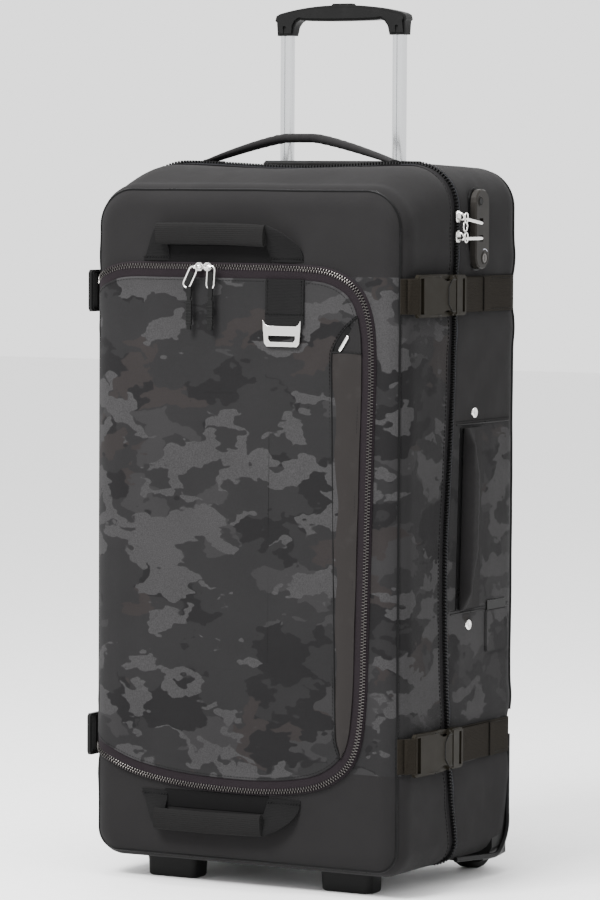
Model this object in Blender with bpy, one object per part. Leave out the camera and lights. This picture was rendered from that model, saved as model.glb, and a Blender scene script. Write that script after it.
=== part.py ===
"""Large two-wheel rolling duffel bag, standing upright.

Metres, +Z up.  The front panel faces -Y, the right side is +X, and the
origin is on the floor under the middle of the bag.  The bag is two hollow
halves that part at the main zip: the rear half carries the trolley, wheels
and lock, and the lid carries the front pocket, handles and feet.
"""
import math

import bmesh
import bpy
from mathutils import Matrix, Vector

# ---- driving dimensions -------------------------------------------------
BAG_HALF_WIDTH = 0.193
BAG_BOTTOM = 0.0236
BAG_TOP = 0.790
LID_FRONT_TOP = 0.764
FRONT_Y = -0.145
BACK_Y = 0.137
ZIP_Y = -0.030
TOP_CORNER = 0.050
BOTTOM_CORNER = 0.030
FRONT_CORNER = 0.025
BACK_CORNER = 0.030
WALL = 0.005
GAP = 0.0003
RIM_GAP = 0.0005
ARC_STEPS = 4

LID_PIVOT = (-0.2075, ZIP_Y, 0.40)

TROLLEY_Y = 0.075
TUBE_X = 0.0713
TUBE_HALF = (0.0085, 0.0050)
TUBE_WALL = 0.0012
TUBE_BOTTOM = 0.615
TUBE_TOP = 0.9500
GUIDE_BOTTOM = 0.045
GUIDE_TOP = 0.7715
TROLLEY_DOWN = 0.139
TROLLEY_UP = 0.120
CATCH_Z = 0.640
GRIP_HALF_DEPTH = 0.0105
GRIP_UNDERSIDE = 0.950
GRIP_TOP = 0.966
GRIP_LEG_BOTTOM = 0.9325
BUTTON_TOP = 0.968

WHEEL_RADIUS = 0.038
WHEEL_X = 0.143
WHEEL_Y = 0.127
WHEEL_HALF_WIDTH = 0.0125
AXLE_RADIUS = 0.004

STRAP_HALF_HEIGHT = 0.020
STRAP_HEIGHTS = {"upper": 0.6478, "lower": 0.1560}
WEB_INNER = BAG_HALF_WIDTH + GAP
WEB_OUTER = WEB_INNER + 0.002
CLIP_INNER = WEB_OUTER + GAP
CLIP_OUTER = 0.207
CLIP_HALF_HEIGHT = 0.023
CLIP_LENGTH = 0.078
MALE_LENGTH = 0.025
PRONG_LENGTH = 0.0235
MOUTH_Y = {"right": -0.047, "left": -0.063}
SIDE_SIGN = {"right": 1.0, "left": -1.0}

TOP_HANDLE_X = -0.008
POCKET_FRONT = -0.150
FRONT_HANDLE_X = -0.0275
FRONT_HANDLE_HALF = 0.100
HANDLE_FRONT = -0.165


# ---- materials and bodies -----------------------------------------------
def material(name, colour, roughness, metallic=0.0):
    """A Principled material of one colour."""
    made = bpy.data.materials.new(name)
    made.use_nodes = True
    shader = made.node_tree.nodes["Principled BSDF"]
    shader.inputs["Base Color"].default_value = (*colour, 1.0)
    shader.inputs["Roughness"].default_value = roughness
    shader.inputs["Metallic"].default_value = metallic
    return made


def body(name, pivot=(0.0, 0.0, 0.0), parent=None):
    """An empty on a moving body's joint axis."""
    empty = bpy.data.objects.new("body_" + name, None)
    bpy.context.collection.objects.link(empty)
    empty.parent = parent
    offset = parent["pivot"] if parent else (0.0, 0.0, 0.0)
    empty.location = Vector(pivot) - Vector(offset)
    empty["pivot"] = pivot
    return empty


def piece(name, mesh, owner, finish):
    """A mesh in world coordinates becomes a part on its body's pivot."""
    pivot = Vector(owner["pivot"])
    mesh.transform(Matrix.Translation(-pivot))
    mesh.materials.append(finish)
    mesh.shade_smooth()
    mesh.set_sharp_from_angle(angle=math.radians(35))
    made = bpy.data.objects.new(name, mesh)
    bpy.context.collection.objects.link(made)
    made.parent = owner
    return made


# ---- shape helpers --------------------------------------------------------
def finished(bm, name):
    """Turn a bmesh into a mesh with its faces pointing out."""
    bmesh.ops.recalc_face_normals(bm, faces=bm.faces)
    mesh = bpy.data.meshes.new(name)
    bm.to_mesh(mesh)
    bm.free()
    return mesh


def skin(name, loops, ring=False):
    """Join loops of equal length, with end caps or as a closed ring."""
    bm = bmesh.new()
    rows = [[bm.verts.new(point) for point in loop] for loop in loops]
    pairs = list(zip(rows, rows[1:]))
    if ring:
        pairs.append((rows[-1], rows[0]))
    else:
        bm.faces.new(rows[0])
        bm.faces.new(rows[-1])
    count = len(rows[0])
    for low, high in pairs:
        for i in range(count):
            j = (i + 1) % count
            bm.faces.new((low[i], low[j], high[j], high[i]))
    return finished(bm, name)


def bevelled(bm, width, segments):
    if width:
        bmesh.ops.bevel(
            bm,
            geom=bm.edges[:],
            offset=width,
            segments=segments,
            affect="EDGES",
            clamp_overlap=True,
        )


def block(name, low, high, bevel=0.0, segments=1):
    """A box between two corners with bevelled edges."""
    bm = bmesh.new()
    bmesh.ops.create_cube(bm, size=1.0)
    for vert in bm.verts:
        for axis in range(3):
            middle = (low[axis] + high[axis]) / 2
            vert.co[axis] = middle + vert.co[axis] * abs(high[axis] - low[axis])
    bevelled(bm, bevel, segments)
    return finished(bm, name)


def along(axis, level, a, b):
    """A point from its level on one axis and its two other coordinates."""
    point = [a, b]
    point.insert("XYZ".index(axis), level)
    return tuple(point)


def prism(name, outline, axis, low, high, bevel=0.0):
    """An outline extruded along an axis, with both ends bevelled."""
    bm = bmesh.new()
    rows = []
    for level in (low, high):
        rows.append([bm.verts.new(along(axis, level, a, b)) for a, b in outline])
    ends = [bm.faces.new(row) for row in rows]
    count = len(outline)
    for i in range(count):
        j = (i + 1) % count
        bm.faces.new((rows[0][i], rows[0][j], rows[1][j], rows[1][i]))
    if bevel:
        rims = {edge for face in ends for edge in face.edges}
        bmesh.ops.bevel(
            bm, geom=list(rims), offset=bevel, segments=1, affect="EDGES"
        )
    return finished(bm, name)


def turned(name, profile, centre, steps):
    """A closed profile of (x, radius) pairs turned about the X axis."""
    loops = []
    for i in range(steps):
        angle = 2 * math.pi * i / steps
        turn = (math.cos(angle), math.sin(angle))
        loops.append(
            [(x, centre[0] + r * turn[0], centre[1] + r * turn[1]) for x, r in profile]
        )
    return skin(name, loops, ring=True)


def disc(name, centre, radius, low, high, steps=16):
    """A solid cylinder along X."""
    outline = []
    for i in range(steps):
        angle = 2 * math.pi * i / steps
        y = centre[0] + radius * math.cos(angle)
        outline.append((y, centre[1] + radius * math.sin(angle)))
    return prism(name, outline, "X", low, high)


def rounded_outline(left, right, low, high, radius_low, radius_high):
    """A rectangle with rounded corners, counter-clockwise."""
    corners = (
        (right, low, -1, 1, radius_low, -90),
        (right, high, -1, -1, radius_high, 0),
        (left, high, 1, -1, radius_high, 90),
        (left, low, 1, 1, radius_low, 180),
    )
    points = []
    for a, b, side_a, side_b, radius, start in corners:
        for i in range(ARC_STEPS + 1):
            angle = math.radians(start + 90 * i / ARC_STEPS)
            across = a + side_a * radius + radius * math.cos(angle)
            points.append((across, b + side_b * radius + radius * math.sin(angle)))
    return points


def chamfered(low_a, high_a, low_b, high_b, cut):
    """A rectangle with its four corners cut, as eight (a, b) points."""
    return [
        (low_a + cut, low_b),
        (high_a - cut, low_b),
        (high_a, low_b + cut),
        (high_a, high_b - cut),
        (high_a - cut, high_b),
        (low_a + cut, high_b),
        (low_a, high_b - cut),
        (low_a, low_b + cut),
    ]


def helper_shape(name, mesh):
    """A cutter or a joined shape, left out of the finished model."""
    made = bpy.data.objects.new(name, mesh)
    bpy.context.collection.objects.link(made)
    made.hide_render = True
    made.display_type = "WIRE"
    return made


def combine(target, mesh, operation="DIFFERENCE"):
    """Cut a mesh out of a part, or join it on."""
    number = len(target.modifiers) + 1
    other = helper_shape(f"{target.name}_{operation.lower()}_{number}", mesh)
    modifier = target.modifiers.new(f"{operation.title()} {number}", "BOOLEAN")
    modifier.operation = operation
    modifier.solver = "EXACT"
    modifier.object = other


# ---- the two halves of the bag ---------------------------------------------
def case_ring(y, inset, top):
    """The bag's front-view outline at one depth, drawn in by an inset."""
    half = BAG_HALF_WIDTH - inset
    radius_low = max(BOTTOM_CORNER - inset, 0.004)
    radius_high = max(TOP_CORNER - inset, 0.004)
    outline = rounded_outline(
        -half, half, BAG_BOTTOM + inset, top - inset, radius_low, radius_high
    )
    return [(x, y, z) for x, z in outline]


def half_rings(rim_y, end_y, radius, inset, end_top):
    """Rings from the rim to the far end, round the end's corner."""
    way = math.copysign(1.0, end_y - rim_y)
    rings = [case_ring(rim_y, inset, BAG_TOP)]
    for i in range(ARC_STEPS + 1):
        angle = math.radians(90 * i / ARC_STEPS)
        y = end_y - way * radius * (1 - math.sin(angle))
        drawn_in = inset + radius * (1 - math.cos(angle))
        rings.append(case_ring(y, drawn_in, end_top))
    return rings


def half_case(name, rim_y, end_y, radius, end_top):
    """A hollow half of the bag, open at its rim."""
    way = math.copysign(1.0, end_y - rim_y)
    outer = half_rings(rim_y, end_y, radius, 0.0, end_top)
    inner = half_rings(rim_y, end_y - way * WALL, radius - WALL, WALL, end_top)
    return skin(name, inner[::-1] + outer)


def build_rear_case(rear, finish):
    """The rear half, its back panel, trolley cover, bezel and housings."""
    mesh = half_case("rear_shell", ZIP_Y + RIM_GAP, BACK_Y, BACK_CORNER, BAG_TOP)
    shell = piece("rear_shell", mesh, rear, finish["fabric"])

    bezel_low = (-0.095, 0.059, 0.772)
    bezel_high = (0.095, 0.091, 0.7925)
    room = block(
        "bezel_room",
        [value - GAP for value in bezel_low],
        [value + GAP for value in bezel_high],
    )
    combine(shell, room)
    bezel = piece(
        "handle_bezel",
        block("handle_bezel", bezel_low, bezel_high, 0.003),
        rear,
        finish["plastic"],
    )
    for sign in (-1, 1):
        slot = tube_room(sign, 0.76, 0.80)
        combine(bezel, slot)
        low_x, high_x = sorted((sign * 0.0997, sign * 0.25))
        corner = block("corner_room", (low_x, 0.0797, 0.0), (high_x, 0.2, 0.1553))
        combine(shell, corner)

    cover = piece(
        "trolley_cover",
        block("trolley_cover", (-0.090, 0.059, 0.040), (0.090, 0.1315, 0.7712), 0.004),
        rear,
        finish["lining"],
    )
    combine(cover, block("cover_hollow", (-0.0875, 0.0615, 0.0), (0.0875, 0.14, 0.80)))

    rail = (0.104, 0.116)
    profile = [(-0.150, 0.1373), (0.150, 0.1373), (0.150, 0.1440), (0.145, 0.1470)]
    profile += [(rail[1], 0.1470), (rail[1] - 0.002, 0.1530)]
    profile += [(rail[0] + 0.002, 0.1530), (rail[0], 0.1470)]
    profile += [(-rail[0], 0.1470), (-rail[0] - 0.002, 0.1530)]
    profile += [(-rail[1] + 0.002, 0.1530), (-rail[1], 0.1470)]
    profile += [(-0.145, 0.1470), (-0.150, 0.1440)]
    piece(
        "back_panel",
        prism("back_panel", profile, "Z", 0.158, 0.760),
        rear,
        finish["plastic"],
    )


def build_lid(lid, finish):
    """The front half, its outer pocket and its two feet."""
    rim_y = ZIP_Y - RIM_GAP
    mesh = half_case("lid_shell", rim_y, FRONT_Y, FRONT_CORNER, LID_FRONT_TOP)
    piece("lid_shell", mesh, lid, finish["fabric"])
    outline = rounded_outline(-0.186, 0.150, 0.112, 0.674, 0.030, 0.030)
    pocket = prism(
        "front_pocket", outline, "Y", FRONT_Y - GAP, POCKET_FRONT, bevel=0.002
    )
    piece("front_pocket", pocket, lid, finish["camouflage"])
    for side, sign in SIDE_SIGN.items():
        low_x, high_x = sorted((sign * 0.078, sign * 0.141))
        foot = block(
            "foot", (low_x, -0.112, 0.0), (high_x, -0.080, BAG_BOTTOM - GAP), 0.005, 2
        )
        piece("foot_" + side, foot, lid, finish["plastic"])


# ---- wheels -----------------------------------------------------------------
def arc_points(centre, radius, start, end, steps=8):
    """Points (a, b) along an arc between two angles in degrees."""
    points = []
    for i in range(steps + 1):
        angle = math.radians(start + (end - start) * i / steps)
        across = centre[0] + radius * math.cos(angle)
        points.append((across, centre[1] + radius * math.sin(angle)))
    return points


def housing_plan(sign):
    """A corner housing's outline from above, its outer back corner well rounded."""
    points = arc_points((0.148, 0.105), 0.045, 0, 90)
    points += arc_points((0.108, 0.142), 0.008, 90, 180, 3)
    points += [(0.100, 0.080), (BAG_HALF_WIDTH, 0.080)]
    return [(sign * x, y) for x, y in points]


def build_wheel(side, rear, wheel, finish):
    """One corner housing with its axle, hub and tyre."""
    sign = SIDE_SIGN[side]
    centre = (WHEEL_Y, WHEEL_RADIUS)
    housing = piece(
        "wheel_housing_" + side,
        prism("wheel_housing", housing_plan(sign), "Z", 0.012, 0.155, bevel=0.003),
        rear,
        finish["plastic"],
    )
    profile = arc_points((0.100, 0.062), 0.051, -90, 0)
    profile += [(0.151, 0.170), (0.070, 0.170), (0.070, 0.011)]
    heel = prism("housing_heel", profile, "X", -0.3, 0.3)
    combine(housing, heel, "INTERSECT")
    well = sorted((sign * (WHEEL_X - 0.016), sign * (WHEEL_X + 0.016)))
    combine(housing, disc("wheel_well", centre, 0.042, *well, steps=32))
    axle_span = sorted((sign * 0.112, sign * 0.176))
    bore_span = (axle_span[0] - GAP, axle_span[1] + GAP)
    combine(housing, disc("axle_bore", centre, AXLE_RADIUS + GAP, *bore_span))
    piece(
        "axle_" + side,
        disc("axle", centre, AXLE_RADIUS, *axle_span),
        rear,
        finish["steel"],
    )
    half = WHEEL_HALF_WIDTH
    rim = WHEEL_RADIUS - 0.009
    x = sign * WHEEL_X
    hub_profile = [
        (x - half, AXLE_RADIUS + GAP),
        (x - half, 0.009),
        (x - half + 0.005, 0.011),
        (x - half + 0.005, rim - 0.006),
        (x - half + 0.001, rim - GAP),
        (x + half - 0.001, rim - GAP),
        (x + half - 0.005, rim - 0.006),
        (x + half - 0.005, 0.011),
        (x + half, 0.009),
        (x + half, AXLE_RADIUS + GAP),
    ]
    piece("hub_" + side, turned("hub", hub_profile, centre, 24), wheel, finish["plastic"])
    tyre_profile = [
        (x - half, rim),
        (x - half, WHEEL_RADIUS - 0.004),
        (x - half + 0.004, WHEEL_RADIUS),
        (x + half - 0.004, WHEEL_RADIUS),
        (x + half, WHEEL_RADIUS - 0.004),
        (x + half, rim),
    ]
    tyre = turned("tyre", tyre_profile, centre, 36)
    piece("tyre_" + side, tyre, wheel, finish["rubber"])


# ---- trolley ----------------------------------------------------------------
def tube_loop(sign, grow, z):
    """The trolley tube's section at one height, grown on every side."""
    half_x = TUBE_HALF[0] + grow
    half_y = TUBE_HALF[1] + grow
    x = sign * TUBE_X
    loop = chamfered(
        x - half_x, x + half_x, TROLLEY_Y - half_y, TROLLEY_Y + half_y, 0.0025
    )
    return [(a, b, z) for a, b in loop]


def tube_room(sign, low, high):
    """A cutter that leaves running room round a trolley tube."""
    return skin("tube_room", [tube_loop(sign, GAP, z) for z in (low, high)])


def hollow_tube(name, sign, grow_in, grow_out, low, high):
    """A tube between two grown sections, open at both ends."""
    loops = [
        tube_loop(sign, grow_out, low),
        tube_loop(sign, grow_out, high),
        tube_loop(sign, grow_in, high),
        tube_loop(sign, grow_in, low),
    ]
    return skin(name, loops, ring=True)


def grip_outline():
    """The grip's front view: an arched bar on two short legs."""
    right = [(0.0560, GRIP_UNDERSIDE), (0.0595, 0.9460), (0.0610, GRIP_LEG_BOTTOM)]
    right += [(0.0815, GRIP_LEG_BOTTOM), (0.0860, 0.9500), (0.0845, 0.9595)]
    arch = []
    for i in range(9):
        x = 0.078 * (1 - i / 4)
        arch.append((x, GRIP_TOP - 0.004 * (x / 0.078) ** 2))
    left = [(-x, z) for x, z in reversed(right)]
    return right + arch + left


def build_trolley(rear, trolley, release, catches, finish):
    """Guides, tubes, grip, button, release bar and the two catches."""
    for side, sign in SIDE_SIGN.items():
        guide = piece(
            "guide_tube_" + side,
            hollow_tube("guide", sign, GAP, 0.0015, GUIDE_BOTTOM, GUIDE_TOP),
            rear,
            finish["aluminium"],
        )
        inner_face = sorted((sign * 0.0580, sign * 0.0640))
        slot = block(
            "catch_slot",
            (inner_face[0], TROLLEY_Y - 0.0028, CATCH_Z - TROLLEY_DOWN - 0.004),
            (inner_face[1], TROLLEY_Y + 0.0028, CATCH_Z + TROLLEY_UP + 0.004),
        )
        combine(guide, slot)
        tube = piece(
            "trolley_tube_" + side,
            hollow_tube("tube", sign, -TUBE_WALL, 0.0, TUBE_BOTTOM, TUBE_TOP),
            trolley,
            finish["aluminium"],
        )
        hole_span = sorted((sign * 0.0580, sign * 0.0675))
        hole = disc("catch_hole", (TROLLEY_Y, CATCH_Z), 0.0028, *hole_span)
        combine(tube, hole)
        pin_span = sorted((sign * 0.0605, sign * 0.0700))
        pin = disc("catch", (TROLLEY_Y, CATCH_Z), 0.0025, *pin_span, steps=12)
        piece("catch_" + side, pin, catches[side], finish["steel"])

    grip = piece(
        "trolley_grip",
        prism(
            "grip",
            grip_outline(),
            "Y",
            TROLLEY_Y - GRIP_HALF_DEPTH,
            TROLLEY_Y + GRIP_HALF_DEPTH,
            bevel=0.003,
        ),
        trolley,
        finish["plastic"],
    )
    tunnel_low = (-0.080, TROLLEY_Y - 0.0035, 0.9527)
    tunnel_high = (0.080, TROLLEY_Y + 0.0035, 0.9587)
    combine(grip, block("tunnel", tunnel_low, tunnel_high))
    for sign in SIDE_SIGN.values():
        combine(grip, tube_room(sign, 0.92, 0.9535))
    button_half = (0.0130, 0.0060)
    hole_low = (-button_half[0] - GAP, TROLLEY_Y - button_half[1] - GAP, 0.9555)
    hole_high = (button_half[0] + GAP, TROLLEY_Y + button_half[1] + GAP, 0.98)
    combine(grip, block("button_hole", hole_low, hole_high))
    button = block(
        "button",
        (-button_half[0], TROLLEY_Y - button_half[1], 0.9586),
        (button_half[0], TROLLEY_Y + button_half[1], BUTTON_TOP),
        0.0012,
        2,
    )
    piece("trolley_button", button, release, finish["plastic"])
    rod = (0.0725, 0.0755)
    bar = [(-rod[1], 0.636), (-rod[0], 0.636), (-rod[0], 0.9557), (rod[0], 0.9557)]
    bar += [(rod[0], 0.636), (rod[1], 0.636), (rod[1], 0.9582), (-rod[1], 0.9582)]
    bar_mesh = prism("release_bar", bar, "Y", TROLLEY_Y - 0.0015, TROLLEY_Y + 0.0015)
    piece("release_bar", bar_mesh, release, finish["steel"])


# ---- lock and main zip ---------------------------------------------------------
LOCK_Y = (0.008, 0.040)
LOCK_Z = (0.675, 0.762)
LOCK_FACE = 0.2023
KEY_CENTRE = (0.028, 0.687)
LOCK_BUTTON_CENTRE = (0.0175, 0.749)
ZIP_SLIDERS = {"upper": 0.7325, "lower": 0.7108}
ZIP_PULLS = {"upper": 0.7268, "lower": 0.7085}
PULL_END = 0.0235
SLIDER_Y = -0.022
PULL_PIVOT = (0.2039, SLIDER_Y + 0.002)


def build_lock(rear, key_body, button_body, finish):
    """The lock's case with its key cylinder and reset button."""
    outline = rounded_outline(*LOCK_Y, *LOCK_Z, 0.0145, 0.0145)
    case = piece(
        "lock_body",
        prism("lock", outline, "X", WEB_INNER, LOCK_FACE, bevel=0.0015),
        rear,
        finish["plastic"],
    )
    combine(case, disc("key_bore", KEY_CENTRE, 0.0055, 0.1956, 0.21, 20))
    combine(case, disc("button_bore", LOCK_BUTTON_CENTRE, 0.0042, 0.1962, 0.21))
    for z in ZIP_PULLS.values():
        slot = block(
            "pull_slot", (0.1990, 0.0155, z - 0.0035), (0.21, PULL_END + 0.001, z + 0.0035)
        )
        combine(case, slot)
    cylinder = piece(
        "lock_cylinder",
        disc("key", KEY_CENTRE, 0.0052, 0.1959, LOCK_FACE + 0.0004, 20),
        key_body,
        finish["steel"],
    )
    keyway = block(
        "keyway",
        (0.1985, KEY_CENTRE[0] - 0.0006, KEY_CENTRE[1] - 0.0032),
        (0.21, KEY_CENTRE[0] + 0.0006, KEY_CENTRE[1] + 0.0032),
    )
    combine(cylinder, keyway)
    cap = disc("reset", LOCK_BUTTON_CENTRE, 0.0038, 0.1975, LOCK_FACE + 0.0008, 14)
    piece("lock_button", cap, button_body, finish["steel"])


def build_main_zip(sliders, pulls, finish):
    """The two sliders on the right side and their pulls."""
    for level, z in ZIP_SLIDERS.items():
        body_mesh = block(
            "zip_slider",
            (BAG_HALF_WIDTH + RIM_GAP, SLIDER_Y - 0.0045, z - 0.0063),
            (0.2022, SLIDER_Y + 0.0045, z + 0.0063),
            0.0012,
        )
        piece("zip_slider_" + level, body_mesh, sliders[level], finish["steel"])
        pull_z = ZIP_PULLS[level]
        pull_mesh = block(
            "zip_pull",
            (0.2030, PULL_PIVOT[1] - 0.0005, pull_z - 0.003),
            (0.2048, PULL_END, pull_z + 0.003),
            0.0005,
        )
        piece("zip_pull_" + level, pull_mesh, pulls[level], finish["steel"])


# ---- compression straps ----------------------------------------------------------
def mirrored_block(name, sign, low, high, bevel=0.0):
    """A block given for the right side, on either side of the bag."""
    near, far = sorted((sign * low[0], sign * high[0]))
    return block(name, (near, low[1], low[2]), (far, high[1], high[2]), bevel)


def build_strap(side, level, rear, lid, male_body, finish):
    """One strap: two lengths of webbing and a side-release clip."""
    sign = SIDE_SIGN[side]
    z = STRAP_HEIGHTS[level]
    mouth = MOUTH_Y[side]
    label = f"{level}_{side}"
    web_low = z - STRAP_HALF_HEIGHT
    web_high = z + STRAP_HALF_HEIGHT
    front_end = mouth - 0.050 if side == "right" else ZIP_Y - RIM_GAP
    rear_start = mouth + 0.002 if side == "right" else ZIP_Y + RIM_GAP
    front_web = mirrored_block(
        "web", sign, (WEB_INNER, -0.119, web_low), (WEB_OUTER, front_end, web_high)
    )
    piece("strap_front_" + label, front_web, lid, finish["webbing"])
    rear_web = mirrored_block(
        "web", sign, (WEB_INNER, rear_start, web_low), (WEB_OUTER, 0.106, web_high)
    )
    piece("strap_rear_" + label, rear_web, rear, finish["webbing"])

    high = CLIP_HALF_HEIGHT
    female = piece(
        "clip_socket_" + label,
        mirrored_block(
            "socket",
            sign,
            (CLIP_INNER, mouth - CLIP_LENGTH, z - high),
            (CLIP_OUTER, mouth, z + high),
            0.002,
        ),
        lid,
        finish["plastic"],
    )
    sleeve = mirrored_block(
        "sleeve",
        sign,
        (CLIP_INNER + 0.0022, mouth - 0.034, z - 0.0175),
        (CLIP_OUTER - 0.0022, mouth + 0.01, z + 0.0175),
    )
    combine(female, sleeve)
    front = mouth - CLIP_LENGTH
    bar_slot = mirrored_block(
        "bar_slot",
        sign,
        (CLIP_INNER - 0.01, front + 0.004, z - 0.0165),
        (CLIP_OUTER + 0.01, front + 0.009, z + 0.0165),
    )
    combine(female, bar_slot)
    for edge in (-1, 1):
        low_z, high_z = sorted((z + edge * 0.0160, z + edge * 0.030))
        window = mirrored_block(
            "window",
            sign,
            (CLIP_INNER + 0.0022, mouth - 0.030, low_z),
            (CLIP_OUTER + 0.01, mouth - 0.014, high_z),
        )
        combine(female, window)

    male_start = mouth + RIM_GAP
    male = piece(
        "clip_tongue_" + label,
        mirrored_block(
            "tongue",
            sign,
            (CLIP_INNER + 0.0005, male_start, z - 0.022),
            (CLIP_OUTER - 0.0005, male_start + MALE_LENGTH, z + 0.022),
            0.0015,
        ),
        male_body,
        finish["plastic"],
    )
    ladder = mirrored_block(
        "ladder",
        sign,
        (CLIP_INNER - 0.01, male_start + 0.015, z - 0.0165),
        (CLIP_OUTER + 0.01, male_start + 0.020, z + 0.0165),
    )
    combine(male, ladder)
    for low_z, high_z in ((-0.015, -0.0095), (-0.003, 0.003), (0.0095, 0.015)):
        prong = mirrored_block(
            "prong",
            sign,
            (CLIP_INNER + 0.0040, mouth - PRONG_LENGTH, z + low_z),
            (CLIP_OUTER - 0.0040, male_start + 0.004, z + high_z),
        )
        combine(male, prong, "UNION")


# ---- handles ------------------------------------------------------------------
def bump(t):
    """Rises fast from 0 at either end to 1 in the middle."""
    return math.sin(math.pi * min(max(t, 0.0), 1.0)) ** 0.6


def build_top_handle(owner, finish):
    """A padded arch across the top, behind the main zip."""
    loops = []
    steps = 16
    for i in range(steps + 1):
        t = i / steps
        rise = bump(t)
        half_width = 0.004 + 0.008 * rise
        z = owner["pivot"][2] + 0.0205 * rise
        x = TOP_HANDLE_X + 0.230 * (t - 0.5)
        y = owner["pivot"][1]
        section = chamfered(y - half_width, y + half_width, z - 0.004, z + 0.0045, 0.002)
        loops.append([(x, a, b) for a, b in section])
    piece("top_handle", skin("top_handle", loops), owner, finish["webbing"])


def build_side_handle(owner, finish):
    """A padded grip on the right side, sewn along its rear edge."""
    loops = []
    steps = 14
    for i in range(steps + 1):
        t = i / steps
        rise = min(1.0, 1.35 * bump(t))
        inner = 0.1940 + 0.0053 * rise
        outer = 0.1985 + 0.0085 * rise
        front = 0.004 - 0.016 * rise
        z = 0.303 + 0.200 * t
        section = chamfered(inner, outer, front, 0.040, 0.0015)
        loops.append([(a, b, z) for a, b in section])
    piece("side_handle", skin("side_handle", loops), owner, finish["webbing"])


def build_front_handle(name, owner, way, finish):
    """A padded grip on the front, standing away from its hinge line."""
    loops = []
    steps = 16
    axis_y = owner["pivot"][1]
    axis_z = owner["pivot"][2]
    for i in range(steps + 1):
        t = i / steps
        rise = min(1.0, 1.25 * bump(t))
        x = FRONT_HANDLE_X + FRONT_HANDLE_HALF * (2 * t - 1)
        back = axis_y + 0.0018 - 0.0095 * rise
        front = axis_y - 0.0018 - (axis_y - 0.0018 - HANDLE_FRONT) * rise
        near = axis_z - way * 0.0022
        far = axis_z + way * (0.0022 + 0.0383 * rise)
        low, high = sorted((near, far))
        section = chamfered(front, back, low, high, 0.0006 + 0.0014 * rise)
        loops.append([(x, a, b) for a, b in section])
    piece(name, skin(name, loops), owner, finish["webbing"])


# ---- front pocket hardware -----------------------------------------------------
POCKET_ZIP_Z = 0.670
POCKET_SLIDERS = {"left": -0.0530, "right": -0.0427}
POCKET_PULLS = {"left": -0.0575, "right": -0.0352}
PLATE_PIVOT = (0.051, -0.1537, 0.6155)


def build_pocket_zip(sliders, pulls, finish):
    """Two sliders on the pocket's top edge, with hanging pulls."""
    for side, x in POCKET_SLIDERS.items():
        slider = block(
            "pocket_slider",
            (x - 0.0048, -0.1575, POCKET_ZIP_Z - 0.006),
            (x + 0.0048, POCKET_FRONT - RIM_GAP, POCKET_ZIP_Z + 0.006),
            0.0015,
        )
        piece("pocket_slider_" + side, slider, sliders[side], finish["steel"])
        pull_x = POCKET_PULLS[side]
        pull = block(
            "pocket_pull",
            (pull_x - 0.0035, -0.1600, 0.607),
            (pull_x + 0.0035, -0.1580, POCKET_ZIP_Z - 0.001),
            0.0006,
        )
        piece("pocket_pull_" + side, pull, pulls[side], finish["rubber"])


def build_tab_and_plate(lid, plate_body, puller_body, finish):
    """The webbing tab with its metal plate, and the side pocket's puller."""
    tab = [(0.027, 0.618), (0.071, 0.618), (0.077, 0.660), (0.031, 0.660)]
    tab_mesh = prism("tab", tab, "Y", POCKET_FRONT - RIM_GAP, POCKET_FRONT - 0.0025)
    piece("webbing_tab", tab_mesh, lid, finish["webbing"])
    outline = [(0.032, 0.592), (0.070, 0.592), (0.0735, 0.617), (0.0285, 0.617)]
    plate = piece(
        "metal_plate",
        prism("plate", outline, "Y", PLATE_PIVOT[1] - 0.0008, PLATE_PIVOT[1] + 0.0008),
        plate_body,
        finish["steel"],
    )
    combine(plate, block("plate_slot", (0.038, -0.17, 0.5970), (0.064, -0.14, 0.6030)))
    puller = block(
        "side_pocket_puller",
        (0.118, -0.1545, 0.588),
        (0.134, POCKET_FRONT - RIM_GAP, 0.606),
        0.0012,
    )
    piece("side_pocket_puller", puller, puller_body, finish["steel"])


def build_luggage_tag(owner, finish):
    """The name tag that pulls up out of a slot on the right side."""
    tag = block(
        "luggage_tag", (0.1935, 0.056, 0.262), (0.1950, 0.102, 0.309), 0.0004
    )
    piece("luggage_tag", tag, owner, finish["webbing"])


def finishes():
    """Every material, by a short name."""
    return {
        "fabric": material("black fabric", (0.030, 0.030, 0.031), 0.85),
        "camouflage": material("camouflage fabric", (0.055, 0.056, 0.057), 0.80),
        "lining": material("lining", (0.060, 0.060, 0.065), 0.90),
        "webbing": material("webbing", (0.040, 0.037, 0.032), 0.90),
        "plastic": material("black plastic", (0.018, 0.018, 0.018), 0.45),
        "rubber": material("rubber", (0.012, 0.012, 0.012), 0.80),
        "steel": material("nickel-plated steel", (0.72, 0.71, 0.70), 0.25, 1.0),
        "aluminium": material("anodised aluminium", (0.80, 0.81, 0.82), 0.30, 1.0),
    }


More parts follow.
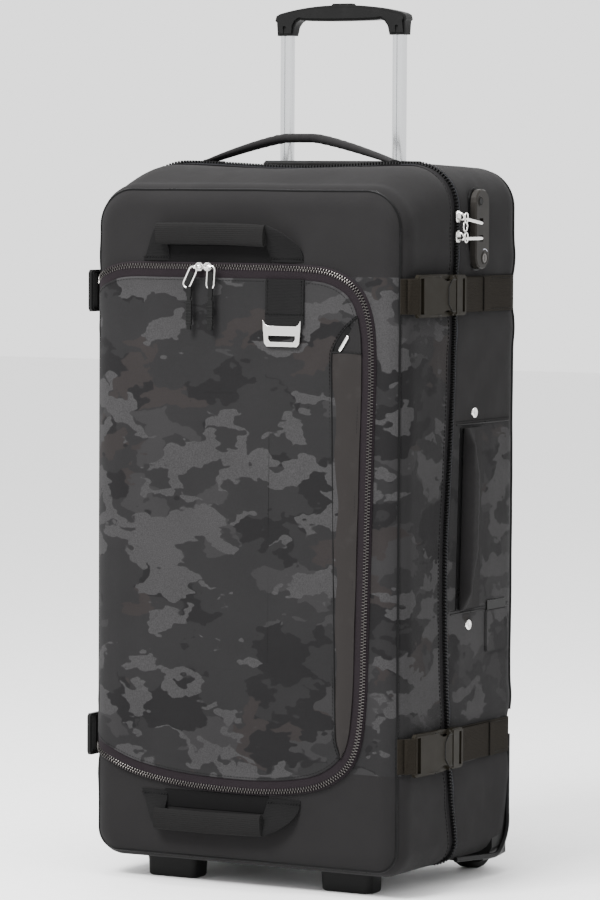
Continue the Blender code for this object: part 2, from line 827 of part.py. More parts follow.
def main():
    for old in list(bpy.data.objects):
        bpy.data.objects.remove(old, do_unlink=True)
    finish = finishes()
    rear = body("rear_case")
    lid = body("lid", LID_PIVOT, rear)
    build_rear_case(rear, finish)
    build_lid(lid, finish)

    trolley = body("trolley", (0.0, TROLLEY_Y, GRIP_UNDERSIDE), rear)
    release = body("release", (0.0, TROLLEY_Y, BUTTON_TOP), trolley)
    catches = {}
    for side, sign in SIDE_SIGN.items():
        wheel = body("wheel_" + side, (sign * WHEEL_X, WHEEL_Y, WHEEL_RADIUS), rear)
        build_wheel(side, rear, wheel, finish)
        catch_at = (sign * TUBE_X, TROLLEY_Y, CATCH_Z)
        catches[side] = body("catch_" + side, catch_at, trolley)
    build_trolley(rear, trolley, release, catches, finish)

    key_body = body("lock_cylinder", (LOCK_FACE, *KEY_CENTRE), rear)
    button_body = body("lock_button", (LOCK_FACE, *LOCK_BUTTON_CENTRE), rear)
    build_lock(rear, key_body, button_body, finish)
    sliders = {}
    pulls = {}
    for level, z in ZIP_SLIDERS.items():
        slider_at = (BAG_HALF_WIDTH, SLIDER_Y, z)
        sliders[level] = body("zip_slider_" + level, slider_at, rear)
        pull_at = (*PULL_PIVOT, ZIP_PULLS[level])
        pulls[level] = body("zip_pull_" + level, pull_at, sliders[level])
    build_main_zip(sliders, pulls, finish)

    for side, sign in SIDE_SIGN.items():
        holder = rear if side == "right" else lid
        for level, z in STRAP_HEIGHTS.items():
            pivot = (sign * BAG_HALF_WIDTH, MOUTH_Y[side], z)
            male_body = body(f"clip_tongue_{level}_{side}", pivot, holder)
            build_strap(side, level, rear, lid, male_body, finish)

    build_top_handle(body("top_handle", (0.0, -0.008, 0.7970), rear), finish)
    build_side_handle(body("side_handle", (0.1965, 0.040, 0.403), rear), finish)
    upper = body("front_handle_upper", (FRONT_HANDLE_X, -0.1473, 0.6835), lid)
    build_front_handle("front_handle_upper", upper, 1, finish)
    lower = body("front_handle_lower", (FRONT_HANDLE_X, -0.1473, 0.1005), lid)
    build_front_handle("front_handle_lower", lower, -1, finish)

    pocket_sliders = {}
    pocket_pulls = {}
    for side, x in POCKET_SLIDERS.items():
        slider_at = (x, POCKET_FRONT, POCKET_ZIP_Z)
        pocket_sliders[side] = body("pocket_slider_" + side, slider_at, lid)
        pull_at = (POCKET_PULLS[side], -0.1590, POCKET_ZIP_Z - 0.002)
        pocket_pulls[side] = body("pocket_pull_" + side, pull_at, pocket_sliders[side])
    build_pocket_zip(pocket_sliders, pocket_pulls, finish)
    plate_body = body("metal_plate", PLATE_PIVOT, lid)
    puller_body = body("side_pocket_puller", (0.126, POCKET_FRONT, 0.597), lid)
    build_tab_and_plate(lid, plate_body, puller_body, finish)
    build_luggage_tag(body("luggage_tag", (BAG_HALF_WIDTH, 0.079, 0.285), rear), finish)


main()
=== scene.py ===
"""Looks of a rolling duffel bag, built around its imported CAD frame.

Metres, +Z up, front towards -Y, lock side towards +X.
"""

import math

import bmesh
import bpy
import numpy as np
from mathutils import Matrix, Vector, noise


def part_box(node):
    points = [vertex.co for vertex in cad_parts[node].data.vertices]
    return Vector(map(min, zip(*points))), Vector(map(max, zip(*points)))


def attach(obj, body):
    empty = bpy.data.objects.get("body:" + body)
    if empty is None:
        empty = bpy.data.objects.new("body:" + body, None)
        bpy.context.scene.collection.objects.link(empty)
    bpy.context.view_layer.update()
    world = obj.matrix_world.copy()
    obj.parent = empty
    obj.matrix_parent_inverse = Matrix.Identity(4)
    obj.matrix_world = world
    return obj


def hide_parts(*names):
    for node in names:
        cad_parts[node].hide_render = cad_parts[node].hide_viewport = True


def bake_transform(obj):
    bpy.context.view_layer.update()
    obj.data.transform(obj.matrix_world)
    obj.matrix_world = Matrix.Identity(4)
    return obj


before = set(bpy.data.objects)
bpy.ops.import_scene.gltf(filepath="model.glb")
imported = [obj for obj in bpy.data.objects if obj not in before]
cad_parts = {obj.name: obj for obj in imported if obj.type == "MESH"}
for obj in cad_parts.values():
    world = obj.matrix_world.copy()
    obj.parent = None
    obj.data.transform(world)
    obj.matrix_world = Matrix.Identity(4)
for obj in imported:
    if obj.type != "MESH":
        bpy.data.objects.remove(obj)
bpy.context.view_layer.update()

# ---- shared dimensions, read from the frame --------------------------------
REAR_LOW, REAR_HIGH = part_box("rear_shell")
LID_LOW, LID_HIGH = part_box("lid_shell")
HALF = REAR_HIGH[0]
TOP = REAR_HIGH[2]
BOTTOM = REAR_LOW[2]
FRONT = LID_LOW[1]
BACK = REAR_HIGH[1]
HINGE_Y = (REAR_LOW[1] + LID_HIGH[1]) / 2
CAMO_TOP = 0.668
CAMO_BOTTOM = 0.135
SIDE_SEAM_HIGH = 0.506
SIDE_SEAM_LOW = 0.300


# ---- material helpers --------------------------------------------------------
class Shader:
    """A Principled material with short calls for its nodes."""

    def __init__(self, name, colour=(0.5, 0.5, 0.5), roughness=0.5, metallic=0.0, **sockets):
        self.material = bpy.data.materials.new(name)
        self.material.use_nodes = True
        self.tree = self.material.node_tree
        self.principled = self.tree.nodes["Principled BSDF"]
        self.put("Base Color", (*colour, 1.0))
        self.put("Roughness", roughness)
        self.put("Metallic", metallic)
        for socket, value in sockets.items():
            self.put(socket.replace("_", " "), value)

    def put(self, socket, value):
        """Set a socket to a number or colour, or link it to another socket."""
        target = self.principled.inputs[socket]
        if isinstance(value, bpy.types.NodeSocket):
            self.tree.links.new(value, target)
        else:
            target.default_value = value

    def node(self, kind, settings=None, **inputs):
        made = self.tree.nodes.new(kind)
        for key, value in (settings or {}).items():
            setattr(made, key, value)
        for key, value in inputs.items():
            name = key.replace("_", " ")
            socket = made.inputs[
                int(key[1:])
            ] if key[0] == "i" and key[1:].isdigit() else made.inputs[name]
            if isinstance(value, bpy.types.NodeSocket):
                self.tree.links.new(value, socket)
            else:
                socket.default_value = value
        return made

    def place(self):
        return self.node("ShaderNodeTexCoord").outputs["Object"]

    def scaled(self, vector, scale, shift=(0, 0, 0)):
        return self.node(
            "ShaderNodeMapping", Vector=vector, Scale=scale, Location=shift
        ).outputs[0]

    def noise(self, vector, scale, detail=2.0, rough=0.5, distortion=0.0):
        return self.node(
            "ShaderNodeTexNoise",
            Vector=vector,
            Scale=scale,
            Detail=detail,
            Roughness=rough,
            Distortion=distortion,
        ).outputs["Fac"]

    def maths(self, operation, a, b=0.0, clamp=False):
        settings = {"operation": operation, "use_clamp": clamp}
        return self.node("ShaderNodeMath", settings, i0=a, i1=b).outputs[0]

    def ramp(self, fac, stops, interpolation="LINEAR"):
        """A colour ramp of (position, grey or colour) stops."""
        made = self.node("ShaderNodeValToRGB", Fac=fac)
        made.color_ramp.interpolation = interpolation
        elements = made.color_ramp.elements
        while len(elements) < len(stops):
            elements.new(0.5)
        for element, (position, colour) in zip(elements, stops):
            element.position = position
            if isinstance(colour, (int, float)):
                colour = (colour, colour, colour)
            element.color = (*colour, 1.0)
        return made.outputs["Color"]

    def blend(self, fac, a, b):
        """Mix two colours by a factor."""
        made = self.tree.nodes.new("ShaderNodeMix")
        made.data_type = "RGBA"
        for index, value in ((0, fac), (6, a), (7, b)):
            if isinstance(value, bpy.types.NodeSocket):
                self.tree.links.new(value, made.inputs[index])
            elif index == 0:
                made.inputs[index].default_value = value
            else:
                made.inputs[index].default_value = (*value, 1.0)
        return made.outputs[2]

    def bumps(self, layers):
        """Stack (height, strength, distance) layers into the normal."""
        normal = None
        for height, strength, distance in layers:
            made = self.node(
                "ShaderNodeBump", Height=height, Strength=strength, Distance=distance
            )
            if normal is not None:
                self.tree.links.new(normal, made.inputs["Normal"])
            normal = made.outputs[0]
        self.put("Normal", normal)

    def weave(self, pitch):
        """A plain weave's height, from the place on the object."""
        split = self.node("ShaderNodeSeparateXYZ", Vector=self.place())
        across = self.maths("ADD", split.outputs[0], split.outputs[1])
        turn = 2 * math.pi / pitch
        a = self.maths("SINE", self.maths("MULTIPLY", across, turn))
        b = self.maths("SINE", self.maths("MULTIPLY", split.outputs[2], turn))
        return self.maths("MULTIPLY", a, b)


# ---- materials --------------------------------------------------------------------
DARK_CLOTH = (0.0106, 0.0102, 0.0104)
CAMO_TONES = (
    (0.0084, 0.0082, 0.0085),
    (0.0120, 0.0118, 0.0121),
    (0.0168, 0.0164, 0.0168),
    (0.0285, 0.0279, 0.0285),
)
CAMO_WARM = (0.0152, 0.0136, 0.0134)


def heathered(shader, colour, amount=0.35):
    """Slight uneven dye at the scale of the yarns."""
    place = shader.place()
    fine = shader.noise(place, 900.0, 2.0, 0.6)
    broad = shader.noise(place, 14.0, 3.0, 0.55)
    tone = shader.maths("ADD", shader.maths("MULTIPLY", fine, amount), 1.0 - amount / 2)
    cloud = shader.maths("ADD", shader.maths("MULTIPLY", broad, 0.25), 0.875)
    scale = shader.maths("MULTIPLY", tone, cloud)
    grey = shader.node("ShaderNodeCombineColor", i0=scale, i1=scale, i2=scale).outputs[0]
    made = shader.tree.nodes.new("ShaderNodeMix")
    made.data_type = "RGBA"
    made.blend_type = "MULTIPLY"
    made.inputs[0].default_value = 1.0
    if isinstance(colour, bpy.types.NodeSocket):
        shader.tree.links.new(colour, made.inputs[6])
    else:
        made.inputs[6].default_value = (*colour, 1.0)
    shader.tree.links.new(grey, made.inputs[7])
    return made.outputs[2]


def camouflage(shader):
    """Five tones: broad blotches under pale, lobed and branching ones with a speckle."""
    place = shader.place()
    shape = shader.scaled(place, (1.0, 1.0, 1.65))
    wander = shader.node("ShaderNodeTexNoise", Vector=shape, Scale=34.0, Detail=2.0)
    centred = shader.node(
        "ShaderNodeVectorMath",
        {"operation": "SUBTRACT"},
        i0=wander.outputs["Color"],
        i1=(0.5, 0.5, 0.5),
    ).outputs[0]
    drift = shader.node("ShaderNodeVectorMath", {"operation": "SCALE"}, i0=centred)
    drift.inputs["Scale"].default_value = 0.060
    warped = shader.node(
        "ShaderNodeVectorMath", {"operation": "ADD"}, i0=shape, i1=drift.outputs[0]
    ).outputs[0]
    speckle = shader.noise(place, 850.0, 2.0, 0.6)
    pale = shader.blend(
        shader.ramp(speckle, ((0.30, 0.15), (0.62, 1.0))), CAMO_TONES[2], CAMO_TONES[3]
    )
    colour = CAMO_TONES[1]
    layers = (
        ((3.1, 0.4, 7.7), 9.0, 0.52, CAMO_TONES[2]),
        ((8.3, 1.9, 4.6), 8.5, 0.58, CAMO_WARM),
        ((6.1, 9.4, 0.2), 11.0, 0.535, CAMO_TONES[0]),
        ((0.3, 5.2, 2.1), 12.0, 0.580, pale),
        ((4.4, 7.3, 5.8), 15.0, 0.560, CAMO_TONES[1]),
        ((1.7, 2.2, 9.9), 15.0, 0.600, pale),
    )
    for shift, scale, level, tone in layers:
        blot = shader.noise(shader.scaled(warped, (1, 1, 1), shift), scale, 1.5, 0.40, 0.4)
        edge = shader.ramp(blot, ((level, 0.0), (level + 0.006, 1.0)))
        colour = shader.blend(edge, colour, tone)
    return colour


def band(shader, low, high):
    """1 where the height on the object is between two levels."""
    height = shader.node("ShaderNodeSeparateXYZ", Vector=shader.place()).outputs[2]
    above = shader.maths("GREATER_THAN", height, low)
    below = shader.maths("LESS_THAN", height, high)
    return shader.maths("MULTIPLY", above, below)


def cloth_finish(shader, colour, pitch=0.0011, ripple=0.35, weave=0.30):
    """Heathering, weave and soft handling creases for a woven cloth."""
    shader.put("Base Color", heathered(shader, colour))
    place = shader.place()
    creases = shader.noise(place, 55.0, 3.0, 0.6, 0.4)
    shader.bumps(
        (
            (creases, ripple, 0.0012),
            (shader.weave(pitch), weave, 0.00025),
            (shader.noise(place, 1400.0, 1.0), 0.15, 0.0002),
        )
    )
    rough = shader.ramp(shader.noise(place, 30.0, 2.0), ((0.3, 0.62), (0.7, 0.80)))
    shader.put("Roughness", rough)


def cloth(name, colour, **details):
    shader = Shader(name, colour, 0.7, Sheen_Weight=0.03, Sheen_Roughness=0.5)
    shader.put("Specular IOR Level", 0.014)
    cloth_finish(shader, colour, **details)
    return shader.material


def zoned_cloth(name, low, high, seam_high):
    """Camouflage between two heights and plain dark cloth elsewhere."""
    shader = Shader(name, DARK_CLOTH, 0.7, Sheen_Weight=0.03, Sheen_Roughness=0.5)
    shader.put("Specular IOR Level", 0.014)
    zone = band(shader, low, min(high, seam_high))
    colour = shader.blend(zone, DARK_CLOTH, camouflage(shader))
    cloth_finish(shader, colour)
    return shader.material


def webbing(name, colour, pitch=0.0016):
    """Ribbed strap webbing."""
    shader = Shader(name, colour, 0.75, Sheen_Weight=0.02)
    shader.put("Specular IOR Level", 0.012)
    shader.put("Base Color", heathered(shader, colour, 0.5))
    place = shader.place()
    split = shader.node("ShaderNodeSeparateXYZ", Vector=place)
    turn = 2 * math.pi / pitch
    ribs = shader.maths("SINE", shader.maths("MULTIPLY", split.outputs[2], turn))
    shader.bumps(
        (
            (ribs, 0.40, 0.0003),
            (shader.weave(0.0009), 0.35, 0.00025),
            (shader.noise(place, 60.0, 3.0), 0.2, 0.001),
        )
    )
    return shader.material


def moulded(name, colour, roughness=0.42, grain=0.25, scale=1500.0):
    """Moulded plastic with a fine grain and faint wear."""
    shader = Shader(name, colour, roughness)
    shader.put("Specular IOR Level", 0.06)
    place = shader.place()
    worn = shader.noise(place, 45.0, 4.0, 0.65)
    lighter = tuple(min(1.0, c * 1.5 + 0.002) for c in colour)
    shader.put(
        "Base Color", shader.blend(shader.ramp(worn, ((0.55, 0.0), (0.8, 0.5))), colour, lighter)
    )
    shader.put(
        "Roughness",
        shader.ramp(worn, ((0.3, roughness - 0.06), (0.75, roughness + 0.12))),
    )
    shader.bumps(
        (
            (shader.noise(place, scale, 2.0), grain, 0.0001),
            (shader.noise(place, 25.0, 2.0), 0.05, 0.001),
        )
    )
    return shader.material


def metal(name, colour, roughness=0.22, brushed=None):
    """Polished or brushed metal with faint scratches."""
    shader = Shader(name, colour, roughness, 1.0)
    place = shader.place()
    stretch = brushed or (1.0, 1.0, 1.0)
    grain = shader.noise(shader.scaled(place, stretch), 700.0, 3.0, 0.6)
    shader.put(
        "Roughness", shader.ramp(grain, ((0.3, roughness - 0.05), (0.7, roughness + 0.10)))
    )
    shader.bumps(((grain, 0.08, 0.0001),))
    return shader.material


MATERIALS = {
    "lid_cloth": zoned_cloth("lid cloth", CAMO_BOTTOM, CAMO_TOP, CAMO_TOP),
    "rear_cloth": zoned_cloth("rear cloth", CAMO_BOTTOM, CAMO_TOP, SIDE_SEAM_HIGH),
    "camo_cloth": zoned_cloth("camouflage cloth", -1.0, 2.0, 2.0),
    "dark_cloth": cloth("dark cloth", DARK_CLOTH),
    # Near-black cloth for the haul handles' backing patches: its darkness is painted shade under
    # the grips.
    "backing_shade_cloth": cloth("backing cloth with painted shade", (0.0045, 0.0044, 0.0045)),
    "lining": cloth("lining", (0.030, 0.031, 0.035), pitch=0.0016, ripple=0.8),
    "tape": webbing("zip tape", (0.0085, 0.0080, 0.0085), 0.0012),
    "pocket_tape": webbing("pocket zip tape", (0.0110, 0.0088, 0.0102), 0.0012),
    "black_webbing": webbing("black webbing", (0.0070, 0.0069, 0.0070)),
    "olive_webbing": webbing("olive webbing", (0.0100, 0.0085, 0.0066)),
    "trim": moulded("coated trim", (0.0125, 0.0112, 0.0108), 0.42, 0.35, 700.0),
    "piping": moulded("piping", (0.0040, 0.0040, 0.0041), 0.30, 0.10),
    "plastic": moulded("black plastic", (0.0065, 0.0065, 0.0065), 0.40),
    "olive_plastic": moulded("olive plastic", (0.0098, 0.0084, 0.0060), 0.46),
    "rubber": moulded("rubber", (0.0060, 0.0060, 0.0060), 0.70, 0.5, 600.0),
    "grey_plastic": moulded("grey plastic", (0.080, 0.080, 0.080), 0.45),
    "nickel": metal("nickel", (0.74, 0.73, 0.71), 0.16),
    "dark_metal": metal("dark metal teeth", (0.085, 0.080, 0.076), 0.24),
    "aluminium": metal("satin aluminium", (0.62, 0.63, 0.64), 0.20, (30.0, 30.0, 0.5)),
    "lock_plastic": moulded("lock plastic", (0.0150, 0.0138, 0.0125), 0.34),
    "pale_print": moulded("pale print", (0.30, 0.31, 0.34), 0.5, 0.05),
    "ribbed_cloth": webbing("ribbed cloth", (0.0080, 0.0078, 0.0078), 0.0022),
    "tag_sleeve": moulded("tag sleeve", (0.0080, 0.0080, 0.0080), 0.30, 0.1),
    "thread": cloth("thread", (0.0200, 0.0198, 0.0200), pitch=0.0008, ripple=0.1),
}


# ---- mesh helpers --------------------------------------------------------------------
def new_piece(name, verts, faces, finish, body, smooth=True, sharp=40.0):
    """A mesh object from points and faces, riding on a body."""
    mesh = bpy.data.meshes.new(name)
    mesh.from_pydata([tuple(map(float, v)) for v in verts], [], faces)
    return settle(name, mesh, finish, body, smooth, sharp)


def settle(name, mesh, finish, body, smooth=True, sharp=40.0):
    """Outward faces, shading and material for a mesh, then its body."""
    bm = bmesh.new()
    bm.from_mesh(mesh)
    bmesh.ops.recalc_face_normals(bm, faces=bm.faces)
    bm.to_mesh(mesh)
    bm.free()
    if smooth:
        mesh.shade_smooth()
        mesh.set_sharp_from_angle(angle=math.radians(sharp))
    mesh.materials.append(MATERIALS[finish])
    made = bpy.data.objects.new(name, mesh)
    bpy.context.collection.objects.link(made)
    if body:
        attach(made, body)
    return made


def strip_faces(rows, columns, closed_columns=False, closed_rows=False):
    """Quads of a grid of rows by columns, as point numbers."""
    faces = []
    row_pairs = rows if closed_rows else rows - 1
    column_pairs = columns if closed_columns else columns - 1
    for r in range(row_pairs):
        a = r * columns
        b = ((r + 1) % rows) * columns
        for c in range(column_pairs):
            d = (c + 1) % columns
            faces.append((a + c, a + d, b + d, b + c))
    return faces


def capped(grid):
    """Points and faces of rows of points that each close, with both ends filled."""
    grid = np.asarray(grid, dtype=float)
    count, width = grid.shape[:2]
    faces = strip_faces(count, width, closed_columns=True)
    faces.append(tuple(range(width)))
    faces.append(tuple(range((count - 1) * width, count * width)))
    return grid.reshape(-1, 3), faces


def resampled(path, step, closed=False):
    """Points at an even spacing along a polyline."""
    points = np.asarray(path, dtype=float)
    if closed:
        points = np.vstack([points, points[:1]])
    runs = np.linalg.norm(np.diff(points, axis=0), axis=1)
    reach = np.concatenate([[0.0], np.cumsum(runs)])
    count = max(2, int(round(reach[-1] / step)) + 1)
    at = np.linspace(0.0, reach[-1], count)
    if closed:
        at = at[:-1]
    return np.stack([np.interp(at, reach, points[:, k]) for k in range(3)], axis=1)


def smoothed(path, passes=2, closed=False):
    """Repeated averaging with the neighbours, ends kept."""
    points = np.asarray(path, dtype=float).copy()
    for _ in range(passes):
        before = np.roll(points, 1, axis=0)
        after = np.roll(points, -1, axis=0)
        mean = (before + 2 * points + after) / 4
        if not closed:
            mean[0] = points[0]
            mean[-1] = points[-1]
        points = mean
    return points


def tangents(path, closed=False):
    if closed:
        way = np.roll(path, -1, axis=0) - np.roll(path, 1, axis=0)
    else:
        way = np.gradient(path, axis=0)
    return way / np.maximum(np.linalg.norm(way, axis=1, keepdims=True), 1e-9)


def unit(vectors):
    vectors = np.asarray(vectors, dtype=float)
    return vectors / np.maximum(np.linalg.norm(vectors, axis=-1, keepdims=True), 1e-9)


def extrusion(path, normals, section, closed=False):
    """Points and faces of a section of (side, up) pairs along a path.

    The normals are one direction for each point, or a single one for all.
    """
    normals = np.asarray(normals, dtype=float)
    along = tangents(path, closed)
    up = unit(normals - along * np.sum(normals * along, axis=1, keepdims=True))
    side = np.cross(along, up)
    rows = [
        path + side * a + up * b if np.isscalar(a) else path + side * a[:, None] + up * b[:, None]
        for a, b in section
    ]
    grid = np.stack(rows, axis=1)
    count, width = grid.shape[:2]
    faces = strip_faces(count, width, closed_columns=True, closed_rows=closed)
    if not closed:
        faces.append(tuple(range(width))[::-1])
        faces.append(tuple(range((count - 1) * width, count * width)))
    return grid.reshape(-1, 3), faces


def rounded_section(half, low, high, cut):
    """A flat strap's section, its corners cut."""
    return [
        (-half + cut, low),
        (half - cut, low),
        (half, low + cut),
        (half, high - cut),
        (half - cut, high),
        (-half + cut, high),
        (-half, high - cut),
        (-half, low + cut),
    ]


def round_section(radius, sides=8):
    turns = [2 * math.pi * i / sides for i in range(sides)]
    return [(radius * math.cos(t), radius * math.sin(t)) for t in turns]


def oval_section(half_side, half_up, sides=12):
    turns = np.linspace(0, 2 * math.pi, sides, endpoint=False)
    return [(half_side * math.cos(t), half_up * math.sin(t)) for t in turns]


def cord_piece(name, path, normals, radius, finish, body, closed=False, sides=8):
    verts, faces = extrusion(path, normals, round_section(radius, sides), closed)
    return new_piece(name, verts, faces, finish, body, sharp=80.0)


def merged(parts):
    """Several (points, faces) pairs as one."""
    verts = []
    faces = []
    for points, cells in parts:
        start = len(verts)
        verts.extend(points)
        faces.extend(tuple(start + i for i in cell) for cell in cells)
    return verts, faces


def box_part(centre, axes, sizes, taper=1.0):
    """A small box from its centre, three unit axes and three sizes."""
    a, b, c = (np.asarray(axis) * size / 2 for axis, size in zip(axes, sizes))
    low = [centre - a - b - c, centre + a - b - c, centre + a + b - c, centre - a + b - c]
    top = [
        centre - (a + b) * taper + c,
        centre + (a - b) * taper + c,
        centre + (a + b) * taper + c,
        centre - (a - b) * taper + c,
    ]
    cells = [(3, 2, 1, 0), (4, 5, 6, 7), (0, 1, 5, 4), (1, 2, 6, 5), (2, 3, 7, 6), (3, 0, 4, 7)]
    return low + top, cells


def stitches(
    name,
    path,
    normals,
    body,
    length=0.0024,
    gap=0.0016,
    radius=0.00035,
    finish="thread",
    lift=0.0002,
):
    """A run of raised thread stitches along a path."""
    points = resampled(path, length + gap)
    normals = np.atleast_2d(np.asarray(normals, dtype=float))
    at = np.linspace(0, 1, len(points))
    known = np.linspace(0, 1, len(normals))
    ups = unit(np.stack([np.interp(at, known, normals[:, k]) for k in range(3)], axis=1))
    along = tangents(points)
    parts = []
    for p, n, t in zip(points, ups, along):
        side = np.cross(t, n)
        parts.append(box_part(p + n * lift, (t, side, n), (length, radius * 2, radius * 2), 0.75))
    verts, faces = merged(parts)
    return new_piece(name, verts, faces, finish, body)


def plate_mesh(name, outline, level, axis, bevel, segments=2):
    """An outline extruded between two levels on an axis, rims bevelled."""
    index = "XYZ".index(axis)
    bm = bmesh.new()
    rows = []
    for value in level:
        row = []
        for a, b in outline:
            point = [a, b]
            point.insert(index, value)
            row.append(bm.verts.new(point))
        rows.append(row)
    caps = [bm.faces.new(row) for row in rows]
    count = len(outline)
    for i in range(count):
        j = (i + 1) % count
        bm.faces.new((rows[0][i], rows[0][j], rows[1][j], rows[1][i]))
    bmesh.ops.recalc_face_normals(bm, faces=bm.faces)
    if bevel:
        rims = list({edge for face in caps for edge in face.edges})
        bmesh.ops.bevel(
            bm, geom=rims, offset=bevel, segments=segments, affect="EDGES", clamp_overlap=True
        )
    mesh = bpy.data.meshes.new(name)
    bm.to_mesh(mesh)
    bm.free()
    return mesh


def plate_piece(name, outline, level, axis, bevel, finish, body, segments=2):
    mesh = plate_mesh(name, outline, level, axis, bevel, segments)
    return settle(name, mesh, finish, body)


def rounded_rectangle(low_a, high_a, low_b, high_b, radius, steps=6):
    """Corner arcs of a rectangle, counter-clockwise from the low side."""
    points = []
    for a, b, start in (
        (high_a - radius, low_b + radius, -90),
        (high_a - radius, high_b - radius, 0),
        (low_a + radius, high_b - radius, 90),
        (low_a + radius, low_b + radius, 180),
    ):
        for i in range(steps + 1):
            angle = math.radians(start + 90 * i / steps)
            points.append((a + radius * math.cos(angle), b + radius * math.sin(angle)))
    return points


def turned_piece(name, profile, centre, steps, finish, body, sharp=35.0):
    """A closed profile of (x, radius) pairs turned about an X axis."""
    rows = []
    for i in range(steps):
        angle = 2 * math.pi * i / steps
        c, s = math.cos(angle), math.sin(angle)
        rows.append([(x, centre[1] + r * c, centre[2] + r * s) for x, r in profile])
    verts = [point for row in rows for point in row]
    faces = strip_faces(steps, len(profile), closed_columns=True, closed_rows=True)
    return new_piece(name, verts, faces, finish, body, sharp=sharp)


# ---- shape of the case ----------------------------------------------------------
def ring_table():
    """For each column round the case, the two corner points it lies between."""
    corners = ((1, 1, -90, 12), (1, 0, 0, 14), (-1, 0, 90, 14), (-1, 1, 180, 12))
    spans = (150, 80, 150, 80)
    rows = []
    for i, (side, is_low, start, count) in enumerate(corners):
        other = corners[(i + 1) % 4]
        for k in range(count):
            a = math.radians(start + 90 * k / count)
            c, s = math.cos(a), math.sin(a)
            rows.append((side, is_low, c, s, side, is_low, c, s, 0.0))
        c, s = math.cos(math.radians(start + 90)), math.sin(math.radians(start + 90))
        for k in range(spans[i]):
            rows.append((side, is_low, c, s, other[0], other[1], c, s, k / spans[i]))
    return np.array(rows, dtype=float)


RING = ring_table()
COLUMNS = len(RING)
LEFT_TOP_END = 12 + 150 + 14 + 80
LEFT_LOW_START = LEFT_TOP_END + 14 + 150 + 12


def anchor(side, is_low, c, s, half, low, high, low_radius, high_radius):
    radius = np.where(is_low > 0.5, low_radius, high_radius)
    x = side * (half - radius) + radius * c
    z = np.where(is_low > 0.5, low + radius, high - radius) + radius * s
    return x, z


def outline(inset=0.0, top=TOP, top_radius=0.050, low_radius=0.030, half=HALF):
    """X and Z of every column, the whole rounded rectangle drawn in by an inset."""
    shape = (
        half - inset,
        BOTTOM + inset,
        top - inset,
        np.maximum(low_radius - inset, 0.004),
        np.maximum(top_radius - inset, 0.004),
    )
    ax, az = anchor(*RING[:, 0:4].T, *shape)
    bx, bz = anchor(*RING[:, 4:8].T, *shape)
    t = RING[:, 8]
    return ax * (1 - t) + bx * t, az * (1 - t) + bz * t


def ring(y, inset=0.0, **shape):
    x, z = outline(inset, **shape)
    return np.stack([x, np.broadcast_to(y, x.shape), z], axis=1)


def ring_normals():
    """Outward direction in the X-Z plane for every column."""
    return np.stack([RING[:, 2], np.zeros(COLUMNS), RING[:, 3]], axis=1)


def soft_step(value, low, high):
    t = np.clip((value - low) / (high - low), 0.0, 1.0)
    return t * t * (3 - 2 * t)


ZIP_SIDE = (
    (0.02, -0.010),
    (0.04, -0.011),
    (0.10, -0.027),
    (0.20, -0.038),
    (0.30, -0.044),
    (0.38, -0.044),
    (0.53, -0.029),
    (0.675, -0.0235),
    (0.7140, -0.0220),
    (0.75, -0.0200),
    (0.80, -0.0205),
)


def zip_depth():
    """Y of the main zip for every column: a soft S on the right, straight on the left."""
    x, z = outline()
    heights, depths = zip(*ZIP_SIDE)
    side = np.interp(z, heights, depths)
    share = soft_step(x, -0.19, 0.19)
    depth = HINGE_Y + (side - HINGE_Y) * share
    for _ in range(40):
        depth = (np.roll(depth, 1) + 2 * depth + np.roll(depth, -1)) / 4
    return depth


ZIP_DEPTH = zip_depth()
LEFT_SIDE = 1.0 - soft_step(outline()[0], -0.19, -0.165)


def ripples(points, scale, seed):
    """Smooth noise from -1 to 1 at each point."""
    shift = Vector((seed, seed * 1.7, seed * 0.6))
    flat = points.reshape(-1, 3)
    made = [noise.noise(Vector(p) * scale + shift) for p in flat]
    return np.array(made).reshape(points.shape[:-1])


def grid_normals(grid, outward, closed=True):
    """Normals of a grid of points, turned to agree with a rough direction."""
    if closed:
        across = np.roll(grid, -1, axis=1) - np.roll(grid, 1, axis=1)
    else:
        across = np.gradient(grid, axis=1)
    down = np.gradient(grid, axis=0)
    normals = unit(np.cross(across, down))
    flip = np.sign(np.sum(normals * outward, axis=2, keepdims=True))
    return normals * np.where(flip == 0, 1.0, flip)


STRAP_HEIGHTS = tuple(
    (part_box(name)[0].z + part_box(name)[1].z) / 2
    for name in ("strap_rear_upper_right", "strap_rear_lower_right")
)


def pressed(points):
    """Cloth held in under the straps and swelling just beside them."""
    made = np.zeros(points.shape[:-1])
    side = soft_step(np.abs(points[..., 0]), HALF - 0.012, HALF - 0.004)
    for height in STRAP_HEIGHTS:
        away = np.abs(points[..., 2] - height)
        made += 0.0016 * np.exp(-(((away - 0.040) / 0.014) ** 2))
        made -= 0.0010 * (1 - soft_step(away, 0.018, 0.026))
    return made * side


def free_of(points, *nodes, margin=0.006, fade=0.020):
    """0 on top of fittings, 1 away from them."""
    made = np.ones(points.shape[:-1])
    for node in nodes:
        low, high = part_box(node)
        centre = (np.array(low) + np.array(high)) / 2
        half = (np.array(high) - np.array(low)) / 2 + margin
        away = np.maximum(np.abs(points - centre) - half, 0.0)
        reach = np.linalg.norm(away, axis=-1)
        made = np.minimum(made, soft_step(reach, 0.0, fade))
    return made


SIDE_FITTINGS = (
    "lock_body",
    "side_handle",
    "clip_socket_upper_right",
    "clip_socket_lower_right",
    "clip_tongue_upper_right",
    "clip_tongue_lower_right",
    "top_handle",
    "handle_bezel",
)
HOUSING_LOW, HOUSING_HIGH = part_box("wheel_housing_right")


